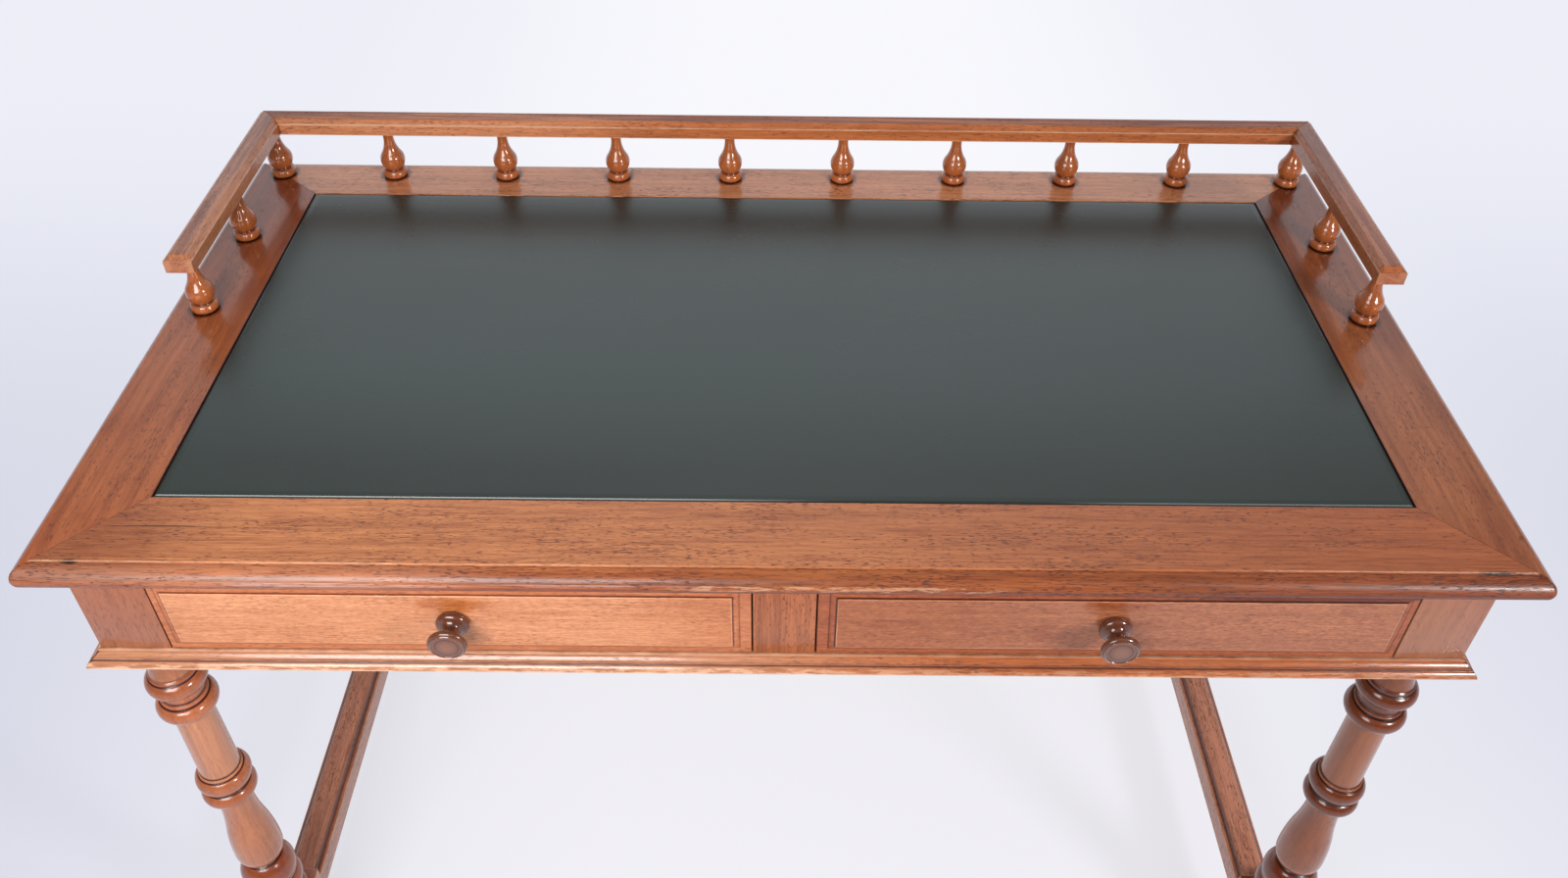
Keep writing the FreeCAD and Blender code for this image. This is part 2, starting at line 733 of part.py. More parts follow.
# Base moulding, mitred at the front corners
def base_moulding(name, half, grow_low, grow_high, x, y, turn):
    """A moulded strip planted on the foot of the frieze."""
    out = s.moulding_projection
    points = [(-out * share, s.moulding_height * h, -bulge) for h, share, bulge in
              MOULDING_SHARES]
    label = "base_moulding_" + name
    whole = bar(label + "_bar", points, (half + out) * 2)
    ends = wedge(label + "_ends", (-out, 0), (-half - grow_low, half + grow_high),
                 (-half, half), (0, s.moulding_height))
    for piece in (whole, ends):
        place(piece, x, y, frieze_bottom, turn)
    return node(pair("Common", label, whole, ends))


half_frieze = (frieze_back - frieze_front) / 2
grow = s.moulding_projection
base_moulding("front", frieze_side, grow, grow, 0, frieze_front, 0)
base_moulding("left", half_frieze, 0, grow, -frieze_side, middle_y, -QUARTER_TURN)
base_moulding("right", half_frieze, grow, 0, frieze_side, middle_y, QUARTER_TURN)


# Stretchers
def stretcher(label, half, x, y, turn):
    """A stretcher with moulded upper edges and a tenon at each end."""
    half_width = s.stretcher_width / 2
    top = s.stretcher_height / 2
    right = [(half_width * w, top - s.stretcher_height * d, bulge)
             for d, w, bulge in STRETCHER_SHARES]
    left = []
    for index in range(len(STRETCHER_SHARES) - 1, -1, -1):
        depth, width, _ = STRETCHER_SHARES[index]
        bulge = STRETCHER_SHARES[index - 1][2] if index else 0
        left.append((half_width * -width, top - s.stretcher_height * depth, bulge))
    points = [(half_width, -top, 0)] + right + left + [(-half_width, -top, 0)]
    whole = bar(label + "_bar", points, half * 2)
    reach = half + s.stretcher_tenon_length
    tenon_half = s.stretcher_tenon_width / 2
    high = s.stretcher_tenon_height / 2
    tenons = wedge(label + "_tenons", (-tenon_half, tenon_half), (-reach, reach),
                   (-reach, reach), (-high, high))
    for piece in (whole, tenons):
        place(piece, x, y, s.stretcher_centre, turn)
    return node(gather("MultiFuse", label, [whole, tenons]))


side_stretcher_half = (before_back_legs - behind_front_legs) / 2
side_stretchers = {side: stretcher("stretcher_" + name, side_stretcher_half, side * leg_x,
                                   middle_y, QUARTER_TURN) for name, side in SIDES}
back_stretcher = stretcher("stretcher_back", opening_outer, 0, leg_back, 0)


# Legs
def leg(label, side, y, tenons):
    """A leg turned between two square blocks, over a turned foot, mortised for its rails."""
    base_low = s.foot_height
    turned_low = s.base_block_top
    shaft = [(0, turned_low, 0)]
    shaft += scaled(LEG_TURNING_SHARES, turned_low, block_bottom - turned_low, half_blank)
    shaft += [(0, block_bottom, 0)]
    foot = [(0, 0, 0)]
    foot += scaled(FOOT_TURNING_SHARES, 0, base_low, half_blank)
    foot += [(0, base_low, 0)]
    square = (-half_blank, half_blank)
    pieces = [
        turned(label + "_shaft", shaft), turned(label + "_foot", foot),
        wedge(label + "_base_block", square, square, square, (base_low, turned_low)),
        wedge(label + "_top_block", square, square, square, (block_bottom, under_top)),
    ]
    for piece in pieces:
        place(piece, side * leg_x, y, 0)
    return node(carve(label, gather("MultiFuse", label + "_whole", pieces), tenons))


for name, side in SIDES:
    own = [side_aprons[side], side_stretchers[side]]
    leg("leg_front_" + name, side, leg_front, own + [top_rail_whole, drawer_rail_whole])
    leg("leg_back_" + name, side, leg_back, own + [back_apron_whole, back_stretcher])


# Drawers
def dovetails(label, x, root, tip, low, high):
    """Tails that widen from their root to their tip, spread evenly over a height."""
    spacing = (high - low) / DOVETAILS
    ends = {}
    for key, share in (("root", TAIL_ROOT_SHARE), ("tip", TAIL_TIP_SHARE)):
        ends[key] = spacing * share
    forward = number(tip) < number(root)
    near, far = ("tip", "root") if forward else ("root", "tip")
    y = (tip, root) if forward else (root, tip)
    tails = []
    for index in range(DOVETAILS):
        middle = low + spacing * (index + 0.5)
        tails.append(wedge(label, y, x, x, (middle - ends[near], middle + ends[near]),
                           (middle - ends[far], middle + ends[far])))
    return tails


def drawer_front(label, side, plate_z, front_cuts):
    """A front with a raised field whose edge is coved, seated on its dovetails."""
    plate = side_span(side, opening_inner + s.drawer_gap, opening_outer - s.drawer_gap)
    field = side_span(side, opening_inner + s.field_inner_border,
                      opening_outer - s.field_border)
    field_z = (opening_low + s.field_border, opening_high - s.field_border)
    body = new_body(label + "_panel")
    for (low, high), (bottom, top), depth in (
            (plate, plate_z, s.front_thickness),
            (field, field_z, s.front_thickness + s.field_rise)):
        corners = [(low, bottom, 0), (high, bottom, 0), (high, top, 0), (low, top, 0)]
        solid = pad(body, sketch(body, "XZ_Plane", corners), depth, symmetric=False)
    doc.recompute()
    slack = s.front_thickness.value * NEAR_SHARE
    inner_low = field[0].value - slack
    inner_high = field[1].value + slack

    def on_field(edge):
        spot = edge.CenterOfMass
        inside = inner_low < spot.x < inner_high
        inside = inside and field_z[0].value - slack < spot.z < field_z[1].value + slack
        return inside and abs(spot.y + s.front_thickness.value) < slack

    cove = body.newObject("PartDesign::Fillet", label + "_cove")
    cove.Base = (solid, edge_names(solid.Shape, on_field))
    bind(cove, "Radius", s.cove_radius)
    place(body, 0, frieze_front + s.front_thickness, 0)
    return node(carve(label, body, front_cuts))


def knob(label, side):
    """A turned knob whose tenon goes through the drawer's front."""
    tenon = s.knob_tenon_diameter / 2
    reach = s.front_thickness + s.field_rise
    points = [(0, -reach, 0), (tenon, -reach, 0), (tenon, 0, 0)]
    points += scaled(KNOB_TURNING_SHARES, 0, s.knob_projection, s.knob_diameter / 2)
    points += [(0, s.knob_projection * KNOB_TURNING_SHARES[-1][0], 0)]
    return node(place(turned(label, points), side * (opening_inner + opening_outer) / 2,
                      frieze_front - s.field_rise, (opening_low + opening_high) / 2,
                      QUARTER_TURN, FreeCAD.Vector(1, 0, 0)))


def drawer(name, side):
    """A dovetailed drawer with its bottom in grooves, and its knob."""
    label = "drawer_%s_" % name
    inner = opening_inner + s.drawer_gap
    outer = opening_outer - s.drawer_gap
    front_back = frieze_front + s.front_thickness
    end = before_back_apron - s.drawer_back_space
    low = opening_low + s.running_clearance
    high = opening_high - s.side_drop
    bottom_z = (low + s.bottom_height, low + s.bottom_height + s.bottom_thickness)
    back_high = high - s.drawer_back_drop
    back_root = end - s.drawer_back_thickness
    boards = (("inner", (inner, inner + s.side_thickness)),
              ("outer", (outer - s.side_thickness, outer)))
    floor_x = side_span(side, inner + s.side_thickness - s.groove_depth,
                        outer - s.side_thickness + s.groove_depth)
    bottom = node(box(label + "bottom", floor_x, (front_back - s.groove_depth, end), bottom_z))
    handle = knob(label + "knob", side)
    front_tails = {}
    back_tails = []
    for where, (near, far) in boards:
        x = side_span(side, near, far)
        front_tails[where] = dovetails("front_tail", x, front_back,
                                       frieze_front + s.dovetail_lap, bottom_z[1], high)
        back_tails += dovetails("back_tail", x, back_root, end, bottom_z[1], back_high)
    all_tails = front_tails["inner"] + front_tails["outer"]
    front = drawer_front(label + "front", side,
                         (opening_low + s.front_lift, opening_high - s.drawer_gap),
                         all_tails + [bottom, handle])
    back_board = box(label + "back_board", side_span(side, inner, outer), (back_root, end),
                     (bottom_z[1], back_high))
    back = node(carve(label + "back", back_board, back_tails))
    for where, (near, far) in boards:
        board = box(label + "side_board", side_span(side, near, far), (front_back, end),
                    (low, high))
        whole = gather("MultiFuse", label + "side_whole", [board] + front_tails[where])
        node(carve(label + "side_" + where, whole, [back, bottom]))
    return front


for name, side in SIDES:
    drawer(name, side)

# Drawer stops on the rail, behind the foot of each front
stop_y = frieze_front + s.front_thickness + s.running_clearance
stops = []
for name, side in SIDES:
    for share in STOP_SHARES:
        centre = opening_inner + (opening_outer - opening_inner) * share
        span = side_span(side, centre - s.stop_length / 2, centre + s.stop_length / 2)
        stops.append(box("stop", span, (stop_y, stop_y + s.stop_width),
                         (opening_low, opening_low + s.stop_height)))
node(gather("Compound", "drawer_stops", stops))

doc.recompute()
for thing in doc.Objects:
    if "Invalid" in thing.State or "Error" in thing.State:
        raise RuntimeError("%s failed: %s" % (thing.Label, thing.State))
for piece in nodes:
    if piece.Shape.isNull() or not piece.Shape.isValid() or not piece.Shape.Solids:
        raise RuntimeError("%s has no valid shape" % piece.Label)

os.makedirs("parts", exist_ok=True)
for piece in nodes:
    piece.Shape.exportStep("parts/%s.step" % piece.Label)
print(len(nodes), "sub-parts written")
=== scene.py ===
import json
import math

import bpy
import numpy as np
from mathutils import Matrix, Vector

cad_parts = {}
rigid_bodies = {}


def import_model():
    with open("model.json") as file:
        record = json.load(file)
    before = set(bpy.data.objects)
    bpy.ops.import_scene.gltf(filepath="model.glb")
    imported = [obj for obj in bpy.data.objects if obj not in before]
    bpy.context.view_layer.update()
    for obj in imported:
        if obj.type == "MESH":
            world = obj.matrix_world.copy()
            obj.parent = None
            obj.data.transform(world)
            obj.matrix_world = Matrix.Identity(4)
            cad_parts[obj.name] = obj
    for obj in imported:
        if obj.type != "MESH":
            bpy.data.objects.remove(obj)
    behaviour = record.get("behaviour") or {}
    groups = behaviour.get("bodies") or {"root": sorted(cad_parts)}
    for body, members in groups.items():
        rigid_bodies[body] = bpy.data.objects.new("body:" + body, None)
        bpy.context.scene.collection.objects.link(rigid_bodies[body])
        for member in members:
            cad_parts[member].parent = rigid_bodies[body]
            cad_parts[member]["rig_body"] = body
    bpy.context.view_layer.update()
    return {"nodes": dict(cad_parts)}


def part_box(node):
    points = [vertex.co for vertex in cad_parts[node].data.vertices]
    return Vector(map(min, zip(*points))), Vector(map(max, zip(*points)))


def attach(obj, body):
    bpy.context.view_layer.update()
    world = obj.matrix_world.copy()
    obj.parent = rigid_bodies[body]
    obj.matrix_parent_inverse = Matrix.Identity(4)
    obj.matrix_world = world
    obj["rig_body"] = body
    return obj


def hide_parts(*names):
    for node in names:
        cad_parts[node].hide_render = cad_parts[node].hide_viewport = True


# The writing desk in its looks: polished hardwood, green leather, a pale studio floor.
# Metres. X runs to the sitter's right, Y away from the sitter and Z up.

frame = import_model()

MM = 0.001


def srgb(red, green, blue):
    """The linear colour of a screen colour given as three numbers up to 255."""
    c = np.array((red, green, blue)) / 255
    linear = np.where(c <= 0.04045, c / 12.92, ((c + 0.055) / 1.055) ** 2.4)
    return (*linear.tolist(), 1.0)


# Outlines

SPACING = 0.12 * MM
CROWDING = 6 * MM


def trace(points, closed):
    """Points along an outline of lines and arcs, about SPACING apart.

    A point is its two coordinates and the bulge of the edge to the next one: the arc's
    height over half its chord, positive to the right of the way it goes. The arc turns by
    4 atan(bulge) about the chord's middle moved to the left by chord (1 - b b) / (4 b).
    """
    corners = np.array(points, float)
    ends = np.roll(corners, -1, axis=0) if closed else corners[1:]
    runs = []
    for (ax, ay, bulge), (bx, by, _) in zip(corners, ends):
        start = np.array((ax, ay))
        chord = np.array((bx, by)) - start
        length = np.hypot(*chord)
        t = np.arange(max(int(length * (1 + bulge * bulge) / SPACING), 1))[:, None]
        t = t / len(t)
        if bulge == 0:
            runs.append(start + chord * t)
            continue
        left = np.array((-chord[1], chord[0]))
        centre = start + chord / 2 + left * (1 - bulge * bulge) / (4 * bulge)
        angle = 4 * math.atan(bulge) * t
        arm = start - centre
        across = np.array((-arm[1], arm[0]))
        runs.append(centre + arm * np.cos(angle) + across * np.sin(angle))
    if not closed:
        runs.append(corners[-1:, :2])
    return np.concatenate(runs)


def blurred(values, reach, closed):
    """Values along an outline, blurred by a bell curve over a number of points."""
    half = int(3 * reach) + 1
    bell = np.exp(-0.5 * (np.arange(-half, half + 1) / reach) ** 2)
    bell = bell / bell.sum()
    if closed:
        padded = np.take(values, np.arange(-half, len(values) + half), axis=0, mode="wrap")
    else:
        low = 2 * values[:1] - values[half:0:-1]
        high = 2 * values[-1:] - values[-2:-half - 2:-1]
        padded = np.concatenate((low, values, high))
    return np.stack([np.convolve(c, bell, "valid") for c in padded.T], axis=1)


def worn(points, count, closed=True, arris=0.3 * MM, spread=0.8 * MM):
    """An outline with its edges rounded by wear, as count points, and how each one bends.

    The bend is the curvature blurred over the spread: positive on an edge that stands
    out and negative in a hollow. Points lie closer together where the outline bends, the
    more so the larger CROWDING is.
    """
    path = blurred(trace(points, closed), arris / SPACING, closed)
    step = np.gradient(path, axis=0)
    if closed:
        step = (np.roll(path, -1, axis=0) - np.roll(path, 1, axis=0)) / 2
    length = np.hypot(*step.T)
    turn = np.gradient(np.unwrap(np.arctan2(step[:, 1], step[:, 0]))) / length
    bend = blurred(turn[:, None], spread / SPACING, closed)[:, 0]
    weight = length * (1 + np.abs(turn) * CROWDING)
    along = np.concatenate(((0,), np.cumsum(weight)))
    values = np.column_stack((path, bend))
    values = np.concatenate((values, values[:1] if closed else values[-1:]))
    picks = np.linspace(0, along[-2], count)
    if closed:
        picks = np.linspace(0, along[-1], count + 1)[:-1]
    picked = np.stack([np.interp(picks, along, v) for v in values.T], axis=1)
    return picked[:, :2], picked[:, 2]


# Meshes

CREASE_ANGLE = math.radians(40)


def mesh_piece(name, vertices, faces, bend=None):
    """A smooth-shaded object at the origin, with its bend kept as an attribute."""
    mesh = bpy.data.meshes.new(name)
    mesh.from_pydata(vertices, [], faces)
    mesh.polygons.foreach_set("use_smooth", np.ones(len(mesh.polygons), bool))
    mesh.set_sharp_from_angle(angle=CREASE_ANGLE)
    if bend is not None:
        layer = mesh.attributes.new("bend", "FLOAT", "POINT")
        layer.data.foreach_set("value", bend.astype(np.float32))
    mesh.update()
    piece = bpy.data.objects.new(name, mesh)
    bpy.context.scene.collection.objects.link(piece)
    return piece


def tube_faces(rows, columns):
    """Quads of a grid whose last column joins the first, and a face over either end row."""
    index = np.arange(rows * columns).reshape(rows, columns)
    right = np.roll(index, -1, axis=1)
    quads = np.stack((index[:-1], right[:-1], right[1:], index[1:]), axis=-1)
    return quads.reshape(-1, 4).tolist() + [index[0, ::-1].tolist(), index[-1].tolist()]


def turned(path, bend, segments, centre, tilt=None):
    """A turned shell: the path's radius and height carried round Z, then tilted and moved.

    Before that, a point at the angle a is (r cos a, r sin a, z).
    """
    angle = np.arange(segments) * (2 * math.pi / segments)
    radius, height = path[:, :1], path[:, 1:]
    grid = np.stack((radius * np.cos(angle), radius * np.sin(angle),
                     height + 0 * angle), axis=-1)
    if tilt is not None:
        grid = grid @ np.array(tilt.to_3x3().transposed())
    grid = grid + np.array(centre)
    return grid.reshape(-1, 3), tube_faces(len(path), segments), np.repeat(bend, segments)


def carried(xs, ys, zs, bend, place):
    """A closed outline in Y and Z carried along X through stations, closed at both ends.

    The arrays hold one row per station and one column per point of the outline. place turns
    and moves the result.
    """
    grid = np.stack(np.broadcast_arrays(xs, ys, zs), axis=-1)
    rows, columns = grid.shape[:2]
    grid = grid @ np.array(place.to_3x3().transposed()) + np.array(place.translation)
    bend = np.broadcast_to(bend, (rows, columns)).ravel()
    return grid.reshape(-1, 3), tube_faces(rows, columns), bend


def join(*shells):
    """One mesh out of several closed shells."""
    vertices, faces, bends, start = [], [], [], 0
    for points, quads, bend in shells:
        vertices.append(points)
        faces += [[i + start for i in face] for face in quads]
        bends.append(bend)
        start += len(points)
    return np.concatenate(vertices), faces, np.concatenate(bends)


EDGE_BEND = 400


def block(low, high, arris=0.7 * MM):
    """A board whose twelve edges are rounded.

    Each corner of the box shrunk by the arris carries an eighth of a ball of that radius,
    so that corners and edges come out round. The bend is that of a worn edge in between.
    """
    low, high = np.array(low), np.array(high)
    turns = np.linspace(0, math.pi / 2, 4)
    theta = np.concatenate((turns - math.pi / 2, turns))
    phi = np.concatenate([turns + k * math.pi / 2 for k in range(4)])
    t, p = np.meshgrid(theta, phi, indexing="ij")
    ball = np.stack((np.cos(t) * np.cos(p), np.cos(t) * np.sin(p), np.sin(t)), axis=-1)
    sign_x = np.repeat((1, -1, -1, 1), 4)
    sign_y = np.repeat((1, 1, -1, -1), 4)
    sign_z = np.repeat((-1, 1), 4)
    signs = np.stack(np.broadcast_arrays(sign_x, sign_y, sign_z[:, None]), axis=-1)
    centre, half = (low + high) / 2, (high - low) / 2 - arris
    grid = centre + signs * half + ball * arris
    edge = np.abs(np.sin(2 * t)) + np.abs(np.sin(2 * p)) * np.cos(t)
    bend = np.clip(edge, 0, 1) * EDGE_BEND
    return grid.reshape(-1, 3), tube_faces(*t.shape), bend.ravel()


# Finishes


class Field:
    """A value that varies over a surface. Arithmetic on it adds Math nodes."""

    def __init__(self, finish, socket):
        self.finish = finish
        self.socket = socket

    def math(self, operation, *values, clamp=False):
        node = self.finish.add("ShaderNodeMath", {"operation": operation, "use_clamp": clamp},
                               dict(enumerate(values)))
        return Field(self.finish, node.outputs[0])

    def __add__(self, other):
        return self.math("ADD", self, other)

    def __radd__(self, other):
        return self.math("ADD", other, self)

    def __sub__(self, other):
        return self.math("SUBTRACT", self, other)

    def __rsub__(self, other):
        return self.math("SUBTRACT", other, self)

    def __mul__(self, other):
        return self.math("MULTIPLY", self, other)

    def __rmul__(self, other):
        return self.math("MULTIPLY", other, self)

    def clamped(self):
        return self.math("ADD", self, 0.0, clamp=True)

    def absolute(self):
        return self.math("ABSOLUTE", self)

    def root(self):
        return self.math("SQRT", self)

    def folded(self, width):
        """Rises from 0 to the width and falls back, over and over."""
        return self.math("PINGPONG", self, width)

    def between(self, low, high):
        """0 at low and 1 at high, smooth between them and level beyond them."""
        node = self.finish.add("ShaderNodeMapRange", {"interpolation_type": "SMOOTHSTEP"},
                               {0: self, 1: low, 2: high, 3: 0.0, 4: 1.0})
        return Field(self.finish, node.outputs[0])

    def within(self, low, high, soft):
        """1 from low to high, falling to 0 over the soft width outside them."""
        return self.between(low - soft, low) * self.between(high + soft, high)


class Nodes:
    """A tree of shader nodes."""

    def __init__(self, tree):
        self.tree = tree

    def add(self, kind, settings=None, inputs=None):
        """Adds a node, sets it up and feeds its inputs, each a value, a Field or a socket."""
        node = self.tree.nodes.new(kind)
        for name, value in (settings or {}).items():
            setattr(node, name, value)
        for key, value in (inputs or {}).items():
            self.feed(node.inputs[key], value)
        return node

    def feed(self, socket, value):
        if isinstance(value, Field):
            value = value.socket
        if isinstance(value, bpy.types.NodeSocket):
            self.tree.links.new(value, socket)
        else:
            socket.default_value = value

    def mixed(self, share, first, second, blend="MIX"):
        """The first colour turning into its blend with the second as share goes to 1."""
        node = self.add("ShaderNodeMix", {"data_type": "RGBA", "blend_type": blend},
                        {0: share, 6: first, 7: second})
        return node.outputs[2]

    def parts(self, vector):
        """A vector's three coordinates."""
        split = self.add("ShaderNodeSeparateXYZ", {}, {0: vector})
        return [Field(self, output) for output in split.outputs]


class Finish(Nodes):
    """One material, built on its Principled BSDF."""

    def __init__(self, name):
        self.material = bpy.data.materials.new(name)
        self.material.use_nodes = True
        super().__init__(self.material.node_tree)
        self.shader = self.tree.nodes["Principled BSDF"]
        self.place = self.add("ShaderNodeTexCoord").outputs["Object"]

    def noise(self, scales, seed, detail, roughness, distortion=0.0):
        """Noise from 0 to 1 with its own scale along each axis, per metre."""
        spread = self.add("ShaderNodeVectorMath", {"operation": "MULTIPLY_ADD"},
                          {0: self.place, 1: scales, 2: (seed, seed * 0.7, seed * 1.3)})
        node = self.add("ShaderNodeTexNoise", {}, {
            "Vector": spread.outputs[0], "Scale": 1.0, "Detail": detail,
            "Roughness": roughness, "Distortion": distortion})
        return Field(self, node.outputs[0])

    def distance(self, centre, size):
        """How far the surface point is from a centre, in sizes given per axis."""
        away = self.add("ShaderNodeVectorMath", {"operation": "SUBTRACT"},
                        {0: self.place, 1: centre})
        away = self.add("ShaderNodeVectorMath", {"operation": "DIVIDE"},
                        {0: away.outputs[0], 1: size})
        length = self.add("ShaderNodeVectorMath", {"operation": "LENGTH"}, {0: away.outputs[0]})
        return Field(self, length.outputs["Value"])

    def bumped(self, height, strength, distance):
        node = self.add("ShaderNodeBump", {}, {
            "Strength": strength, "Distance": distance, "Height": height})
        self.feed(self.shader.inputs["Normal"], node.outputs[0])

    def set(self, **sockets):
        """Feeds the shader; an underscore in a name stands for a space."""
        for name, value in sockets.items():
            self.feed(self.shader.inputs[name.replace("_", " ")], value)
        return self.material


# Colour of the hollows: wax and painted shade.
WAX_AND_SHADE_COLOUR = srgb(112, 62, 40)
# Painted shade in the gaps between parts.
GAP_SHADE = srgb(66, 46, 37)
# Pale rubbed wood; also the colour of painted sheen lines.
RUBBED_AND_SHEEN = srgb(238, 188, 152)


class Wood(Finish):
    """Open-pored hardwood with its fibres along one axis.

    Broad bands, streaks and fine fibres mix the deep colour into the pale one. Short dark
    pores lie along the fibres in clusters. The numbers pores, contrast and fine say how
    strong the pores, the whole figure and its fibres are.
    """

    def __init__(self, name, grain, pale, deep, seed, pores=1.0, contrast=1.0, fine=1.5):
        super().__init__(name)
        self.grain = grain
        self.x, self.y, self.z = self.parts(self.place)
        band = self.noise(self.along(1.6, 18), seed, 3, 0.55, 0.6)
        self.streak = self.noise(self.along(6, 170), seed + 3, 4, 0.6, 0.3)
        self.fibre = self.noise(self.along(40, 650), seed + 7, 3, 0.6)
        figure = (band - 0.5) * 1.2 + (self.streak - 0.5) * 1.2 + (self.fibre - 0.5) * fine
        self.figure = (figure * contrast + 0.45).clamped()
        self.colour = self.mixed(self.figure, pale, deep)
        cluster = self.noise(self.along(10, 60), seed + 11, 2, 0.6)
        pore = self.noise(self.along(150, 950), seed + 17, 1, 0.5)
        line = self.noise(self.along(30, 850), seed + 19, 1, 0.5)
        fleck = (pore + (cluster - 0.5) * 0.4).between(0.60, 0.68)
        hair = (line + (cluster - 0.5) * 0.3).between(0.70, 0.80)
        self.fleck = (fleck + hair * 0.5).clamped() * pores
        self.patch = self.noise((45, 45, 45), seed + 29, 4, 0.65)
        bend = self.add("ShaderNodeAttribute", {"attribute_name": "bend"})
        self.bend = Field(self, bend.outputs["Fac"])

    def along(self, lengthwise, crosswise):
        """Pattern scales with the long way of the pattern along the grain."""
        scales = [crosswise] * 3
        scales["xyz".index(self.grain)] = lengthwise
        return tuple(scales)

    def tint(self, share, colour):
        """Multiplies by a colour where share is 1."""
        self.colour = self.mixed(share, self.colour, colour, "MULTIPLY")

    def cover(self, share, colour):
        """Hides the wood behind a colour as share goes to 1."""
        self.colour = self.mixed(share, self.colour, colour)

    def stain(self, centre, size, colour, strength, ragged=1.2):
        """A spot with a ragged rim."""
        reach = self.distance(centre, size) + (self.patch - 0.5) * ragged
        self.tint(reach.between(1.1, 0.5) * strength, colour)

    def polish(self, gloss, coat=0.25, wax_and_shade=0.8, rub=0.6, worn=None):
        """Pores, wax and painted shade in the hollows, pale rubbed edges, and the sheen.

        gloss is the roughness of the plain wood. worn adds rubbed places and painted sheen lines.
        """
        # Darker in hollows, where the bend is negative: partly wax, partly painted shade.
        wax_and_painted_shade = (self.bend.between(-120, -520) * wax_and_shade).clamped()
        rubbed = self.bend.between(220, 620) * (self.patch * 1.8 - 0.35).clamped() * rub
        if worn is not None:
            rubbed = (rubbed + worn).clamped()
        colour = self.mixed(self.fleck * 0.7, self.colour, srgb(122, 86, 74), "MULTIPLY")
        colour = self.mixed(wax_and_painted_shade, colour, WAX_AND_SHADE_COLOUR, "MULTIPLY")
        colour = self.mixed(rubbed, colour, RUBBED_AND_SHEEN)
        self.bumped(self.fibre * 0.3 - self.fleck - wax_and_painted_shade * 0.3, 0.3, 0.2 * MM)
        rough = self.fleck * 0.2 + (self.patch - 0.5) * 0.16 + wax_and_painted_shade * 0.1 + gloss
        return self.set(Base_Color=colour, Roughness=rough, Coat_Weight=coat,
                        Coat_Roughness=0.09, Specular_IOR_Level=0.45)


def plain_wood(name, grain, colour, seed):
    """Bare wood of the inner pieces: dull, soft streaks, painted shade under the leather."""
    wood = Wood(name, grain, colour, tuple(c * 0.7 for c in colour[:3]) + (1,), seed, 0.3)
    # Painted shade at the top, where the panel shows in the gap round the leather.
    wood.tint(wood.z.between(leather_low.z - 1 * MM, leather_low.z), srgb(90, 66, 54))
    wood.bumped(wood.fibre, 0.2, 0.2 * MM)
    return wood.set(Base_Color=wood.colour, Roughness=0.6)


def dyed_leather():
    """Dark green hide with a fine pebbled grain, lighter inside from a painted sheen.

    A painted highlight runs along its front edge, and painted shade lies low on that edge.
    """
    hide = Finish("dyed_leather")
    pebble = hide.noise((800, 800, 800), 2, 3, 0.7)
    cloud = hide.noise((4, 9, 5), 5, 4, 0.55)
    x, y, z = hide.parts(hide.place)
    colour = hide.mixed(cloud.between(0.3, 0.7), srgb(27, 38, 30), srgb(34, 44, 37))
    # Painted sheen: the hide is lighter away from its front and back edges.
    inner = y.between(leather_low.y + 0.02, leather_low.y + 0.18)
    inner = inner * y.between(leather_high.y - 0.02, leather_high.y - 0.14)
    colour = hide.mixed(inner, colour, srgb(43, 56, 52))
    thick = leather_high.z - leather_low.z
    # Painted highlight: a pale line along the front edge, full at the left, half at the right.
    rim = y.between(leather_low.y + 2.6 * MM, leather_low.y + 1.8 * MM)
    painted_edge_highlight = x.between(0.05, -0.12) + x.between(0.2, 0.32) * 0.5
    colour = hide.mixed(rim * painted_edge_highlight * 0.9, colour, srgb(160, 164, 160))
    # Painted shade: the lower half of the hide's edge, down in the gap, is nearly black.
    shaded_lower_edge = z.between(leather_low.z + thick * 0.5, leather_low.z + thick * 0.25)
    colour = hide.mixed(shaded_lower_edge, colour, srgb(16, 18, 16))
    hide.bumped(pebble, 0.2, 0.3 * MM)
    return hide.set(Base_Color=colour, Roughness=(cloud - 0.5) * 0.1 + 0.28,
                    Specular_IOR_Level=0.7)


def steel():
    metal = Finish("screw_steel")
    return metal.set(Base_Color=srgb(150, 150, 150), Metallic=1.0, Roughness=0.4)


# Main places, read from the CAD pieces


def middle_of(node):
    """The middle of a CAD piece's box."""
    low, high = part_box(node)
    return (low + high) / 2


front_low, front_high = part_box("top_frame_front")
back_low, back_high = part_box("top_frame_back")
leather_low, leather_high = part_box("leather_skin")
TOP_HALF = front_high.x
TOP_FRONT = front_low.y
TOP_BACK = back_high.y
UNDER_TOP = front_low.z
TOP_Z = front_high.z
THICKNESS = TOP_Z - UNDER_TOP
LEDGE = 10 * MM
REBATE = 12 * MM
TOP_EDGE = 14 * MM
FRONT_WIDTH = front_high.y - TOP_FRONT - LEDGE
BACK_WIDTH = TOP_BACK - back_low.y - LEDGE
FRIEZE_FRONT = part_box("top_rail")[0].y
FRIEZE_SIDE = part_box("apron_right")[1].x
FRIEZE_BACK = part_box("apron_back")[1].y
FRIEZE_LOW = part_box("base_moulding_front")[0].z
FIELD_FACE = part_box("drawer_left_front")[0].y
RAIL_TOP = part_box("gallery_rail_back")[1].z
KNOB_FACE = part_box("drawer_left_knob")[0].y
KNOB_X = abs(middle_of("drawer_left_knob").x)
KNOB_Z = middle_of("drawer_left_knob").z
LEG_X = middle_of("leg_front_right").x
FOOT_TOP = 60 * MM
LOWER_BLOCK_TOP = 150 * MM
UPPER_BLOCK_LOW = LOWER_BLOCK_TOP + 458 * MM
BALUSTER_RADIUS = 13.5 * MM
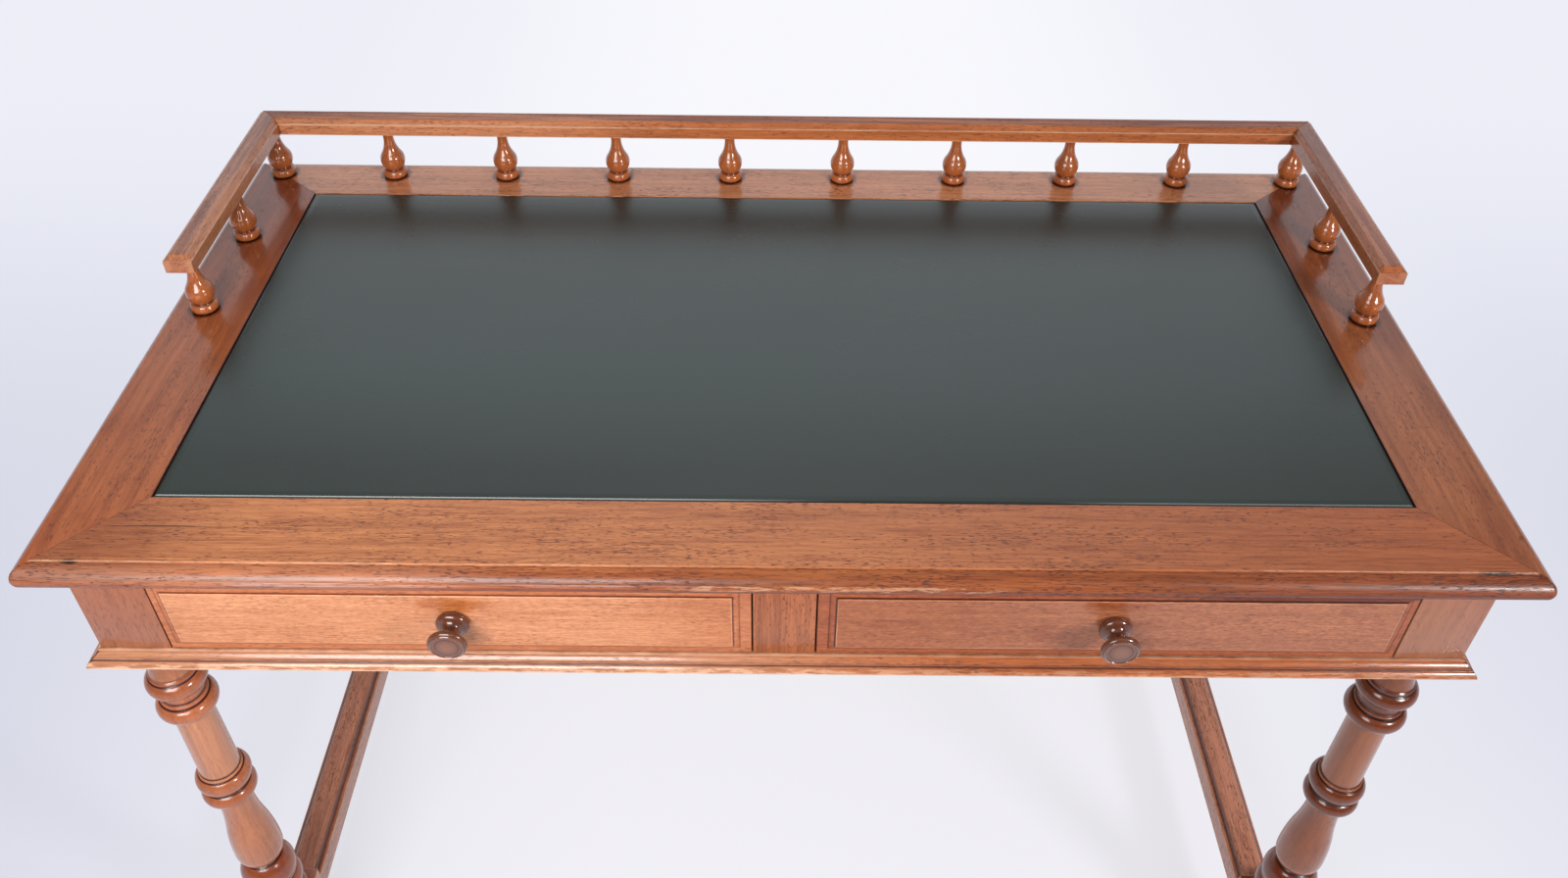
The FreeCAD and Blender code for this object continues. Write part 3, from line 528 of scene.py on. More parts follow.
ROW_X = abs(middle_of("baluster_back_1").x)
ROW_Y = middle_of("baluster_back_1").y
BACK_STEP = ROW_X * 2 / 9
SIDE_STEP = ROW_Y - middle_of("baluster_left_1").y


# Woods of the pieces


def handled_and_shaded_edge(wood, inward, arris=0.95):
    """Painted shade: browner below the step, darkest under the crest, where grime lies too,
    and dark on the arris at the leather.

    inward is the distance from the leather's edge. The result is where hands rub the wood.
    """
    # Painted shade on the nose below the step, which catches less sheen than the flat.
    wood.tint(wood.z.between(TOP_Z - 1.0 * MM, TOP_Z - 2.4 * MM), srgb(236, 219, 212))
    # Under the crest: painted shade and streaky grime.
    crease_shade_and_grime = wood.z.within(UNDER_TOP + 3.5 * MM, UNDER_TOP + 7 * MM, 1.5 * MM)
    wood.tint((crease_shade_and_grime * (wood.streak + 0.3)).clamped(), srgb(196, 162, 150))
    # Painted shade on the arris that drops into the gap at the leather.
    wood.tint(inward.between(1.8 * MM, 0.9 * MM) * arris, srgb(84, 56, 42))
    return inward.between(10 * MM, 40 * MM)


def wax_and_shade_rings(wood, dx, dy):
    """Dark wax and painted shade round the feet of a row of balusters.

    dx and dy say how far away the nearest one is.
    """
    radius = (dx * dx + dy * dy).root()
    ring = radius.between(BALUSTER_RADIUS + 6 * MM, BALUSTER_RADIUS - 1 * MM)
    # Wax and painted shade round each baluster's foot.
    wood.tint((ring * (wood.patch + 0.6)).clamped(), srgb(96, 72, 62))


def front_member_wood():
    """The front member, whose nose shows the most wear: each part of it has its own tone.

    Some of these tones are painted shade, a painted highlight and a painted reflection.
    """
    wood = Wood("front_member_wood", "x", srgb(222, 143, 88), srgb(168, 98, 58), 1, 1.0, 1.2)
    x, z, streak = wood.x, wood.z, wood.streak
    rubbed = handled_and_shaded_edge(wood, leather_low.y - wood.y)
    # Darker toward the right: partly browner wood, partly painted shade where less light falls.
    wood.tint(x.between(-0.45, 0.55), srgb(214, 188, 180))
    streaks = wood.noise(wood.along(16, 420), 41, 3, 0.65).between(0.50, 0.66)
    wood.tint(streaks * 0.5, srgb(200, 170, 158))
    # Painted shade over the left end.
    wood.tint(x.between(-0.43, -0.57), srgb(203, 184, 178))

    # The nose: browner in the middle, painted shade to the left of it, duller at the right
    nose = z.between(TOP_Z - 1.0 * MM, TOP_Z - 2.4 * MM)
    middle = x.within(0.0, 0.3, 0.12)
    shaded_left_of_middle = x.within(-0.27, -0.08, 0.08)
    wood.tint(nose * middle * 0.7, srgb(217, 213, 187))
    # Painted shade left of the middle, dimming the lamp's highlight on the nose.
    wood.tint(nose * shaded_left_of_middle * 0.85, srgb(216, 200, 182))
    wood.tint(nose * x.between(0.2, 0.34), srgb(240, 246, 248))

    # Along the nose: a dull crest, a painted streaky highlight at the left, a painted
    # reflection as a greyed line, and scratches
    crest = z.within(UNDER_TOP + 11.6 * MM, UNDER_TOP + 15.4 * MM, 0.8 * MM)
    dull = x.between(0.05, -0.05) + x.between(0.4, 0.46)
    wood.tint(crest * dull * streak.between(0.3, 0.6), srgb(214, 217, 222))
    # Painted highlight: pinkish streaks on the nose at the left.
    left = x.between(-0.2, -0.32)
    wood.cover(nose * left * streak.between(0.25, 0.6) * 0.35, srgb(194, 142, 116))
    # Painted reflection: a greyed band below the crest, left of the middle.
    painted_reflection_line = z.within(UNDER_TOP + 8.5 * MM, UNDER_TOP + 11 * MM, 0.8 * MM)
    painted_reflection_line = painted_reflection_line * x.within(-0.4, -0.1, 0.06) * streak.between(0.4, 0.62)
    wood.cover(painted_reflection_line * 0.4, srgb(205, 186, 184))
    scratches = wood.noise(wood.along(45, 900), 61, 2, 0.6).between(0.54, 0.62)
    wood.tint(scratches * nose * 0.45, srgb(160, 130, 116))

    # Old stains at both ends of the step and beside the left mitre
    step = TOP_FRONT + TOP_EDGE
    wood.stain((-0.563, step, TOP_Z), (9 * MM, 2.5 * MM, 4 * MM), srgb(70, 54, 48), 0.9)
    wood.stain((0.561, step, TOP_Z), (16 * MM, 1.8 * MM, 3 * MM), srgb(60, 46, 42), 0.9)
    wood.stain((-0.505, TOP_FRONT + 52 * MM, TOP_Z), (50 * MM, 0.8 * MM, 9 * MM),
               srgb(80, 60, 50), 0.8, 0.6)

    # Pale scuffs low on the nose, right of the middle
    scuffs = wood.noise((60, 260, 420), 5, 3, 0.7).between(0.48, 0.58)
    height = z.within(UNDER_TOP + 6.5 * MM, UNDER_TOP + 11 * MM, 1.0 * MM)
    worn = scuffs * height * x.within(-0.05, 0.14, 0.06)
    rubbed = rubbed * (0.8 - middle * 0.65 - shaded_left_of_middle * 0.3)
    under = z.between(UNDER_TOP + 5 * MM, UNDER_TOP + 2 * MM)
    return wood.polish(nose * 0.1 + under * 0.4 + 0.27, nose * -0.2 + 0.3, wax_and_shade=0.2, rub=rubbed,
                       worn=worn * 0.42)


def back_member_wood():
    wood = Wood("back_member_wood", "x", srgb(232, 155, 107), srgb(178, 112, 74), 9, 1.0)
    rubbed = handled_and_shaded_edge(wood, wood.y - leather_high.y, 0.15)
    nearest = BACK_STEP / 2 - wood.x.folded(BACK_STEP / 2)
    wax_and_shade_rings(wood, nearest, wood.y - ROW_Y)
    return wood.polish(0.20, 0.3, wax_and_shade=0.3, rub=rubbed * 0.6)


def side_member_wood(side, pale, deep, seed):
    wood = Wood(side + "_member_wood", "y", pale, deep, seed, 0.8, 1.3, 0.6)
    cloud = wood.noise(wood.along(9, 28), seed + 2, 3, 0.6)
    wood.tint(cloud.between(0.42, 0.7) * 0.7, srgb(210, 186, 172))
    sign = -1 if side == "left" else 1
    rubbed = handled_and_shaded_edge(wood, wood.x * sign - leather_high.x)
    along = (wood.y - ROW_Y).folded(SIDE_STEP / 2)
    reach = ROW_Y - 2.2 * SIDE_STEP
    wax_and_shade_rings(wood, wood.x - sign * ROW_X, along + wood.y.between(reach, reach - 5 * MM))
    # Painted shade: darker toward the back, toning down the sheen there.
    wood.tint(wood.y.between(0.0, 0.25) * 0.7, srgb(206, 172, 158))
    return wood.polish(0.20, 0.25, wax_and_shade=0.3, rub=rubbed * 0.15)


def rail_wood(name, grain, pale, deep, seed, gloss, coat, line):
    """Wood of a gallery rail: streaky, darker flat top; painted sheen line under its slope."""
    wood = Wood(name, grain, pale, deep, seed, 0.8, 1.2)
    flat = wood.z.between(RAIL_TOP - 1.2 * MM, RAIL_TOP - 0.4 * MM)
    wood.tint(flat * wood.streak.between(0.35, 0.6) * 0.8, srgb(190, 156, 140))
    middle = wood.x.within(-0.1, 0.54, 0.2)
    wood.tint(middle, srgb(238, 212, 176))
    # Painted sheen: a pale line on the ledge under the chamfer, fainter in the middle and right.
    ledge_sheen = wood.z.within(RAIL_TOP - 5.7 * MM, RAIL_TOP - 4.8 * MM, 0.2 * MM)
    worn = ledge_sheen * wood.patch * (1.0 - middle * 0.7) * line
    return wood.polish(gloss, coat, rub=line * 0.8, worn=worn)


def baluster_wood():
    wood = Wood("baluster_wood", "z", srgb(196, 110, 58), srgb(152, 80, 43), 35, 0.4, 0.9)
    # Dirt and painted shade round the foot of each baluster.
    wood.tint(wood.z.between(TOP_Z + 2.2 * MM, TOP_Z + 0.6 * MM) * 0.85, srgb(96, 66, 54))
    return wood.polish(0.15, 0.6, rub=0.3)


def leg_wood(side, pale, deep, post_pale, post_deep, rings, seed):
    """Turned wood, darker on its rings, under a square block of its own colour.

    Painted shade darkens the turnings just under the moulding.
    """
    wood = Wood(side + "_leg_wood", "z", pale, deep, seed, 0.5, 0.85, 0.9)
    height = wood.z - LOWER_BLOCK_TOP
    wood.tint(height.within(210 * MM, 252 * MM, 2 * MM), rings)
    wood.tint(height.within(353 * MM, 412 * MM, 2 * MM), rings)
    # Painted shade on the upper turnings, under the moulding.
    wood.tint(wood.z.between(FRIEZE_LOW - 90 * MM, FRIEZE_LOW - 20 * MM), srgb(198, 180, 168))
    wood.tint(height.between(250 * MM, 200 * MM), srgb(240, 227, 218))
    wood.tint(height.within(2 * MM, 86 * MM, 6 * MM), srgb(204, 170, 152))
    post = wood.mixed(wood.figure, post_pale, post_deep)
    wood.cover(wood.z.between(FRIEZE_LOW, FRIEZE_LOW + 2 * MM), post)
    return wood.polish(0.20, 0.4, wax_and_shade=1.7)


def stile_wood():
    wood = Wood("stile_wood", "z", srgb(182, 104, 60), srgb(132, 68, 36), 53, 0.9, 1.3)
    depth = wood.y - FRIEZE_FRONT
    # Painted shade on the stile's sides, seen in the gaps beside the drawers.
    wood.tint(depth.within(1.4 * MM, 3.5 * MM, 0.7 * MM), GAP_SHADE)
    return wood.polish(0.30)


def plain_apron_wood(name, grain, seed):
    wood = Wood(name, grain, srgb(186, 120, 86), srgb(144, 86, 56), seed)
    return wood.polish(0.32)


def moulding_wood(name, grain, seed):
    """Base moulding: painted shade in quirk, gap and right part; rubbed pale on its lower lip."""
    wood = Wood(name, grain, srgb(206, 142, 104), srgb(156, 98, 68), seed, 0.8)
    # Painted shade: the right part is darker, the left lies in the lamp's light.
    right = wood.x.between(-0.1, 0.2)
    wood.tint(right, srgb(238, 200, 166))
    # Painted shade in the quirk.
    quirk = wood.z.within(FRIEZE_LOW + 6.7 * MM, FRIEZE_LOW + 8 * MM, 0.4 * MM)
    wood.tint(quirk * 0.75, srgb(140, 104, 88))
    if grain == "x":
        # Painted shade in the gap at the frieze.
        wood.tint(wood.y.between(FRIEZE_FRONT - 1.3 * MM, FRIEZE_FRONT - 0.5 * MM), GAP_SHADE)
    scuffs = wood.noise(wood.along(50, 300), seed + 5, 3, 0.7).between(0.45, 0.58)
    worn = scuffs * wood.z.within(FRIEZE_LOW - 1 * MM, FRIEZE_LOW + 4.5 * MM, 1 * MM)
    return wood.polish(0.20, 0.35, wax_and_shade=1.3, rub=1.0 - right * 0.4,
                       worn=worn * (0.65 - right * 0.35))


def drawer_wood(side, pale, deep, border, seed):
    """A front's wood, with the fine ripples of a curly grain, and where its raised field is.

    It is darker in the border, the most so at its top, where a painted shadow of the nose falls.
    The gap round the front has painted shade, the quirk round the field dirt and painted shade.
    """
    wood = Wood(side + "_drawer_wood", "x", pale, deep, seed, 0.6, 1.2)
    curl = wood.noise(wood.along(170, 520), seed + 23, 3, 0.7, 0.5).between(0.35, 0.65)
    wood.tint(curl * (0.5 if side == "right" else 0.3), srgb(176, 144, 132))
    depth = wood.y - FIELD_FACE
    field = depth.between(0.9 * MM, 0.4 * MM)
    wood.tint(1.0 - field, border)
    # Dirt and painted shade in the quirk round the field.
    wood.tint(depth.within(0.8 * MM, 1.3 * MM, 0.3 * MM), srgb(214, 188, 170))
    # Painted shade in the gap round the front.
    wood.tint(depth.within(4.9 * MM, 6.5 * MM, 0.7 * MM), GAP_SHADE)
    # Painted shadow of the nose on the top of the border.
    wood.tint((1.0 - field) * wood.z.between(UNDER_TOP - 24 * MM, UNDER_TOP - 12 * MM) * 0.8,
              srgb(196, 170, 158))
    return wood, field


def left_drawer_wood():
    wood, field = drawer_wood("left", srgb(235, 164, 118), srgb(198, 125, 79),
                              srgb(228, 205, 190), 83)
    wood.tint(field * wood.x.between(-0.16, -0.03), srgb(232, 212, 192))
    wood.tint(field * wood.x.between(-0.46, -0.52), srgb(246, 243, 242))
    wood.stain((-KNOB_X, FIELD_FACE, KNOB_Z + 20 * MM), (34 * MM, 9, 10 * MM),
               srgb(220, 186, 130), 0.8)
    wood.stain((-0.5165, FIELD_FACE + 4 * MM, UNDER_TOP - 21.5 * MM), (2 * MM, 2 * MM, 2 * MM),
               srgb(90, 66, 56), 0.9, 0.5)
    return wood.polish(0.32, 0.15, wax_and_shade=0.65, rub=field * 0.9)


def right_drawer_wood():
    # Darker than the left front: partly its own wood, partly painted shade of the weaker light on
    # the right.
    wood, field = drawer_wood("right", srgb(200, 127, 88), srgb(160, 94, 60),
                              srgb(240, 208, 174), 89)
    wood.tint(field * wood.x.between(0.25, 0.1), srgb(248, 236, 216))
    # Dirt and painted shadow in a thick line above the field, toward its right end.
    over = wood.z.between(KNOB_Z + 29.5 * MM, KNOB_Z + 31.5 * MM)
    wood.tint(over * wood.x.between(0.25, 0.4) * 0.8, srgb(150, 110, 92))
    blotch = wood.noise((20, 20, 38), 97, 3, 0.65).between(0.54, 0.70)
    wood.tint(field * blotch * 0.5, srgb(208, 180, 166))
    wood.stain((KNOB_X, FIELD_FACE, KNOB_Z + 26 * MM), (32 * MM, 9, 7 * MM),
               srgb(226, 176, 120), 0.7)
    return wood.polish(0.32, 0.15, wax_and_shade=0.9, rub=field * 0.8)


def stretcher_wood(name, grain, seed):
    """Wood of a stretcher.

    The side ones, whose grain runs along Y, have painted shade in their hollows.
    """
    wood = Wood(name, grain, srgb(200, 132, 103), srgb(142, 86, 62), seed, 1.0, 1.2)
    if grain == "y":
        aside = (wood.x.absolute() - LEG_X).absolute()
        # Painted shade in the hollow of the moulding on each side.
        wood.tint(aside.within(13.4 * MM, 16.4 * MM, 1.0 * MM), srgb(168, 150, 140))
    return wood.polish(0.28, 0.25, rub=0.8)


def knob_turning_wood():
    """Dark turned wood, lighter on the flat face, with a dark line round its middle."""
    wood = Wood("knob_turning_wood", "y", srgb(112, 62, 42), srgb(70, 36, 24), 107, 0.4)
    aside = wood.x.absolute() - KNOB_X
    above = wood.z - KNOB_Z
    radius = (aside * aside + above * above).root()
    face = wood.y.between(KNOB_FACE + 2.0 * MM, KNOB_FACE + 0.8 * MM)
    face = face * radius.between(13.2 * MM, 12.2 * MM)
    colour = wood.mixed(radius.between(9 * MM, 3 * MM), srgb(116, 70, 52), srgb(140, 88, 64))
    wood.cover(face * 0.8, colour)
    wood.tint(face * radius.within(9.2 * MM, 9.8 * MM, 0.5 * MM) * 0.7, srgb(140, 110, 98))
    return wood.polish(0.16, 0.6, rub=0.2)


woods = {
    "top_front": front_member_wood(),
    "top_back": back_member_wood(),
    "top_left": side_member_wood("left", srgb(194, 109, 64), srgb(140, 74, 41), 15),
    "top_right": side_member_wood("right", srgb(180, 106, 65), srgb(130, 69, 41), 21),
    "rail_back": rail_wood("back_rail_wood", "x", srgb(222, 143, 98), srgb(166, 101, 66), 27,
                           0.40, 0.0, 1.1),
    "rail_side": rail_wood("side_rail_wood", "y", srgb(202, 128, 86), srgb(156, 92, 60), 31,
                           0.28, 0.3, 0.3),
    "baluster": baluster_wood(),
    "leg_left": leg_wood("left", srgb(213, 142, 101), srgb(161, 99, 67),
                         srgb(177, 108, 75), srgb(136, 77, 51), srgb(232, 208, 192), 41),
    # The right legs are darker: partly their own wood, partly painted shade of the weaker light
    # there.
    "leg_right": leg_wood("right", srgb(168, 96, 51), srgb(120, 61, 31),
                          srgb(176, 113, 80), srgb(132, 77, 53), srgb(196, 170, 156), 47),
    "stile": stile_wood(),
    "apron_y": plain_apron_wood("side_apron_wood", "y", 59),
    "apron_x": plain_apron_wood("rail_and_apron_wood", "x", 65),
    "moulding_x": moulding_wood("front_moulding_wood", "x", 71),
    "moulding_y": moulding_wood("side_moulding_wood", "y", 77),
    "drawer_left": left_drawer_wood(),
    "drawer_right": right_drawer_wood(),
    "stretcher_y": stretcher_wood("side_stretcher_wood", "y", 95),
    "stretcher_x": stretcher_wood("back_stretcher_wood", "x", 101),
    "knob": knob_turning_wood(),
}
inner_x = plain_wood("inner_wood_across", "x", srgb(190, 150, 104), 3)
inner_y = plain_wood("inner_wood_deep", "y", srgb(186, 144, 98), 8)
leather_finish = dyed_leather()
screw_finish = steel()


# Pieces


def fit(node, shell, finish):
    """Puts a finished piece in place of its CAD node, on the same body."""
    piece = mesh_piece(node + "_finished", *shell)
    piece.data.materials.append(finish)
    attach(piece, frame["nodes"][node]["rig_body"])
    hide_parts(node)
    return piece


def turned_to(degrees, x, y, z):
    """The place of an edge piece: X along it and Y inwards before it is turned about Z."""
    return Matrix.Translation((x, y, z)) @ Matrix.Rotation(math.radians(degrees), 4, "Z")


JOINT_GAP = 0.15 * MM
CORNER_ROUND = 6 * MM
ALONG = np.array((0, 0.4, 1.2, 2.5, 4, 6, 9)) * MM
JOINT_WAX = 700
WAX_REACH = 0.7 * MM


def framed(section, bend, half, draws, place, corner=0.0):
    """A moulded bar between two mitred ends whose outer corners are rounded in plan.

    A point of the section that lies v inwards runs at that depth, except near an end,
    where the outermost depth follows a quarter circle of radius corner into the mitre and
    the depths behind it smaller ones. draws gives, for each end, how far the end is drawn in
    at each depth. Wax lies in the joint and thins out along the bar.
    """
    v = section[:, 0]
    radius = np.clip(corner - v + v.min(), 0, None)
    ends = []
    for depth, drawn in draws:
        start = np.interp(v, depth, drawn) + JOINT_GAP
        run = radius * (1 - math.sqrt(0.5)) + ALONG[:, None]
        over = np.clip(radius - run, 0, None)
        inward = v + radius - np.sqrt(np.clip(radius ** 2 - over ** 2, 0, None))
        ends.append((start + run, inward))
    xs = np.concatenate((ends[0][0] - half, (half - ends[1][0])[::-1]))
    ys = np.concatenate((ends[0][1], ends[1][1][::-1]))
    wax_and_shade = np.exp(-ALONG / WAX_REACH) * JOINT_WAX
    wax_and_shade = np.concatenate((wax_and_shade, wax_and_shade[::-1]))[:, None]
    return carried(xs, ys, section[:, 1], bend - wax_and_shade, place)


def top_section(width, inset, bulge):
    """Frame of the top: nose below, flat above up to a step at the inset, rebate inside."""
    step = 1.8 * MM
    belly = 8 * MM
    under = 4 * MM
    return worn([
        (under, 0, 0), (width + LEDGE, 0, 0), (width + LEDGE, THICKNESS - REBATE, 0),
        (width, THICKNESS - REBATE, 0), (width, THICKNESS, 0), (inset, THICKNESS, 0),
        (inset, THICKNESS - step, bulge), (0, belly, 0.236),
    ], 260)


def mitre(width, other):
    """Drawn-in length at each depth: at 45 degrees over the moulding, then to the leather."""
    slope = (other - TOP_EDGE) / (width - TOP_EDGE)
    drawn = TOP_EDGE + (width + LEDGE - TOP_EDGE) * slope
    return (0, TOP_EDGE, width + LEDGE), (0, TOP_EDGE, drawn)


def fit_top():
    half_depth = (TOP_BACK - TOP_FRONT) / 2
    middle = (TOP_BACK + TOP_FRONT) / 2
    even = mitre(FRONT_WIDTH, FRONT_WIDTH)
    to_side = mitre(BACK_WIDTH, FRONT_WIDTH)
    to_back = mitre(FRONT_WIDTH, BACK_WIDTH)
    rows = (
        ("front", FRONT_WIDTH, TOP_HALF, (even, even), (0, 0, TOP_FRONT)),
        ("back", BACK_WIDTH, TOP_HALF, (to_side, to_side), (180, 0, TOP_BACK)),
        ("left", FRONT_WIDTH, half_depth, (to_back, even), (-90, -TOP_HALF, middle)),
        ("right", FRONT_WIDTH, half_depth, (even, to_back), (90, TOP_HALF, middle)),
    )
    for name, width, half, draws, (turn, x, y) in rows:
        edge = (9 * MM, 0.3) if name in ("left", "right") else (TOP_EDGE, 0.42)
        section, bend = top_section(width, *edge)
        place = turned_to(turn, x, y, UNDER_TOP)
        fit("top_frame_" + name, framed(section, bend, half, draws, place, CORNER_ROUND),
            woods["top_" + name])


def ringed(rings, axis_order=(0, 1, 2)):
    """Nested rectangles joined in turn and closed.

    A ring is its low and high u, its low and high v, its w and its bend. axis_order says
    which of u, v and w are its X, Y and Z.
    """
    u0, u1, v0, v1, w = rings[:, :5].T
    u = np.stack((u0, u1, u1, u0), 1)
    v = np.stack((v0, v0, v1, v1), 1)
    grid = np.stack((u, v, np.broadcast_to(w[:, None], u.shape)), -1)
    grid = grid[..., list(axis_order)]
    return grid.reshape(-1, 3), tube_faces(len(rings), 4), np.repeat(rings[:, 5], 4)


def rect_rings(rect, path, bend):
    """Rings of a rectangle shrunk by the path's first value, at its second value."""
    low_u, high_u, low_v, high_v = rect
    inset, depth = path.T
    return np.stack((low_u + inset, high_u - inset, low_v + inset, high_v - inset, depth, bend),
                    axis=1)


def fit_leather():
    """The hide: a flat skin whose edge rolls over, a little inside its recess."""
    thick = leather_high.z - leather_low.z
    path, bend = worn([(1.2 * MM, 0, 0), (0.7 * MM, 0.3 * MM, 0), (0.7 * MM, 0.5 * MM, 0.3),
                       (2.2 * MM, thick * 0.82, 0), (6.5 * MM, thick, 0), (10 * MM, thick, 0)],
                      34, closed=False, arris=0.15 * MM)
    path = path + np.array((0, leather_low.z))
    rect = (leather_low.x, leather_high.x, leather_low.y, leather_high.y)
    fit("leather_skin", ringed(rect_rings(rect, path, -bend)), leather_finish)


def fit_gallery():
    """Rails with chamfered tops; the front ends of the side rails are hipped.

    In a hip, nothing stands higher than the chamfer does as far in from the side.
    """
    low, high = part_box("gallery_rail_back")
    width = high.y - low.y
    height = high.z - low.z
    shoulder = height - 5 * MM
    chamfer = 5.8 * MM
    quirk = 1.1 * MM
    section, bend = worn([
        (width, 0, 0), (width, shoulder, 0), (width - quirk, shoulder, 0),
        (width - chamfer, height, 0), (chamfer, height, 0), (quirk, shoulder, 0),
        (0, shoulder, 0), (0, 0, 0)], 140, arris=0.22 * MM)
    mitred = ((0, width), (0, width))
    fit("gallery_rail_back",
        framed(section, bend, high.x, (mitred, mitred), turned_to(180, 0, high.y, low.z)),
        woods["rail_back"])
    for name, side in (("left", -1), ("right", 1)):
        low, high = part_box("gallery_rail_" + name)
        half = (high.y - low.y) / 2
        outer = high.x if side > 0 else low.x
        place = turned_to(90 * side, outer, (high.y + low.y) / 2, low.z)
        hip = np.array((0, 0.2 * MM, quirk, quirk + 0.2 * MM, chamfer, chamfer + 2 * MM))
        back = section[:, 0] - half + np.array(((0,), (2 * MM,)))
        front = half - np.broadcast_to(hip[:, None], (len(hip), len(section)))
        xs = np.concatenate((back, front[::-1]))
        limit = np.interp(hip, (quirk, chamfer), (shoulder, height))
        limit = np.concatenate((np.full(len(back), height), limit[::-1]))
        zs = np.minimum(section[:, 1], limit[:, None])
        if side > 0:
            xs, zs = -xs[::-1], zs[::-1]
        bends = np.where(zs < section[:, 1], 0, bend)
        fit("gallery_rail_" + name, carried(xs, section[:, 0], zs, bends, place),
            woods["rail_side"])


# Turnings from foot to top: radius, height and bulge of each point, in millimetres

BALUSTER_PATH = [
    (12.0, 0, 0.35), (12.0, 8.6, 0), (10.2, 9.2, 0), (10.0, 11.0, 0), (10.6, 11.8, 0.31),
    (11.2, 28.5, -0.15), (5.6, 49, 0), (6.3, 57, 0),
]
LEG_PATH = [
    (28.5, 0, 0.35), (24.0, 16, -0.12), (25.4, 26, 0.36), (25.4, 50, 0), (24.4, 50.6, 0),
    (24.4, 51.4, 0), (26.6, 52, 0), (26.6, 54.6, 0.28), (20.2, 84, 0), (16.6, 86, 0.18),
    (24.4, 108, 0.045), (20.2, 156, -0.05), (16.8, 205, 0), (19.6, 207.5, 0),
    (22.6, 211, 0.47), (22.6, 228, 0),
    (21.8, 228.5, 0), (21.8, 231.5, 0), (22.6, 232, 0.42), (22.6, 251, 0), (21.0, 251.5, 0),
    (21.0, 254.5, 0), (19.3, 255, 0), (18.3, 349, -0.3), (21.8, 354, 0), (23.4, 354.4, 0.5),
    (23.4, 372, 0), (21.5, 372.4, 0), (21.5, 375.5, 0), (19.4, 376.5, -0.1), (19.0, 389, 0),
    (22.8, 389.4, 0.5), (22.8, 407.5, 0), (21.8, 408, 0), (21.8, 411, 0), (20.2, 412, -0.08),
    (17.5, 449, 0), (22.0, 451, 0.3), (27.0, 458, 0),
]
FOOT_PATH = [
    (12.9, 0, 0), (14.4, 3.6, 0.54), (17.1, 42, 0), (20.4, 44.4, 0), (20.4, 48, 0),
    (18.0, 49.2, -0.2), (18.6, 55.2, 0), (24.9, 60, 0),
]
KNOB_PATH = [
    (11.0, 0, 0.75), (11.0, 8.1, 0), (9.6, 8.7, -0.65), (11.2, 21.2, 0), (14.2, 22.2, 0.8),
    (14.2, 28.0, 0), (13.3, 28.9, 0), (12.7, 28.2, -0.3), (12.0, 28.1, 0), (6.0, 28.4, 0),
    (0.4, 28.5, 0),
]


def turning(rows, count, arris=0.25 * MM, spread=0.8 * MM):
    """The worn path of a turning, from its rows in millimetres."""
    points = [(radius * MM, height * MM, bulge) for radius, height, bulge in rows]
    return worn(points, count, closed=False, arris=arris, spread=spread)


def fit_balusters():
    path, bend = turning(BALUSTER_PATH, 60)
    for node in sorted(n for n in frame["nodes"] if n.startswith("baluster_")):
        x, y, _ = middle_of(node)
        fit(node, turned(path, bend, 40, (x, y, TOP_Z)), woods["baluster"])


def fit_legs():
    """Legs turned between square blocks, over a turned foot.

    The shaft's bend is blurred wider and then raised, so that its creases hold more wax and
    painted shade.
    """
    path, bend = turning(LEG_PATH, 300, spread=1.6 * MM)
    shaft = path, bend * 2.4
    foot = turning(FOOT_PATH, 70)
    half = 30 * MM
    for depth in ("front", "back"):
        for side in ("left", "right"):
            node = "leg_%s_%s" % (depth, side)
            x, y, _ = middle_of(node)
            fit(node, join(
                turned(*shaft, 72, (x, y, LOWER_BLOCK_TOP)),
                turned(*foot, 56, (x, y, 0)),
                block((x - half, y - half, FOOT_TOP),
                      (x + half, y + half, LOWER_BLOCK_TOP), 1 * MM),
                block((x - half, y - half, UPPER_BLOCK_LOW),
                      (x + half, y + half, UNDER_TOP), 0.8 * MM),
            ), woods["leg_" + side])


def fit_boards():
    """Aprons, rails and the upright between the drawers, without their hidden tenons."""
    post_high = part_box("leg_front_left")[1]
    before_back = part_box("leg_back_left")[0].y
    for name in ("left", "right"):
        low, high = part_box("apron_" + name)
        fit("apron_" + name,
            block((low.x, post_high.y, low.z), (high.x, before_back, high.z)), woods["apron_y"])
    for node in ("top_rail", "drawer_rail", "apron_back"):
        low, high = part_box(node)
        fit(node, block((post_high.x, low.y, low.z), (-post_high.x, high.y, high.z)),
            woods["apron_x"])
    low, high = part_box("centre_stile")
    tenon = 8 * MM
    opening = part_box("base_moulding_front")[1].z
    fit("centre_stile", block((low.x, low.y, opening), (high.x, high.y, high.z - tenon)),
        woods["stile"])


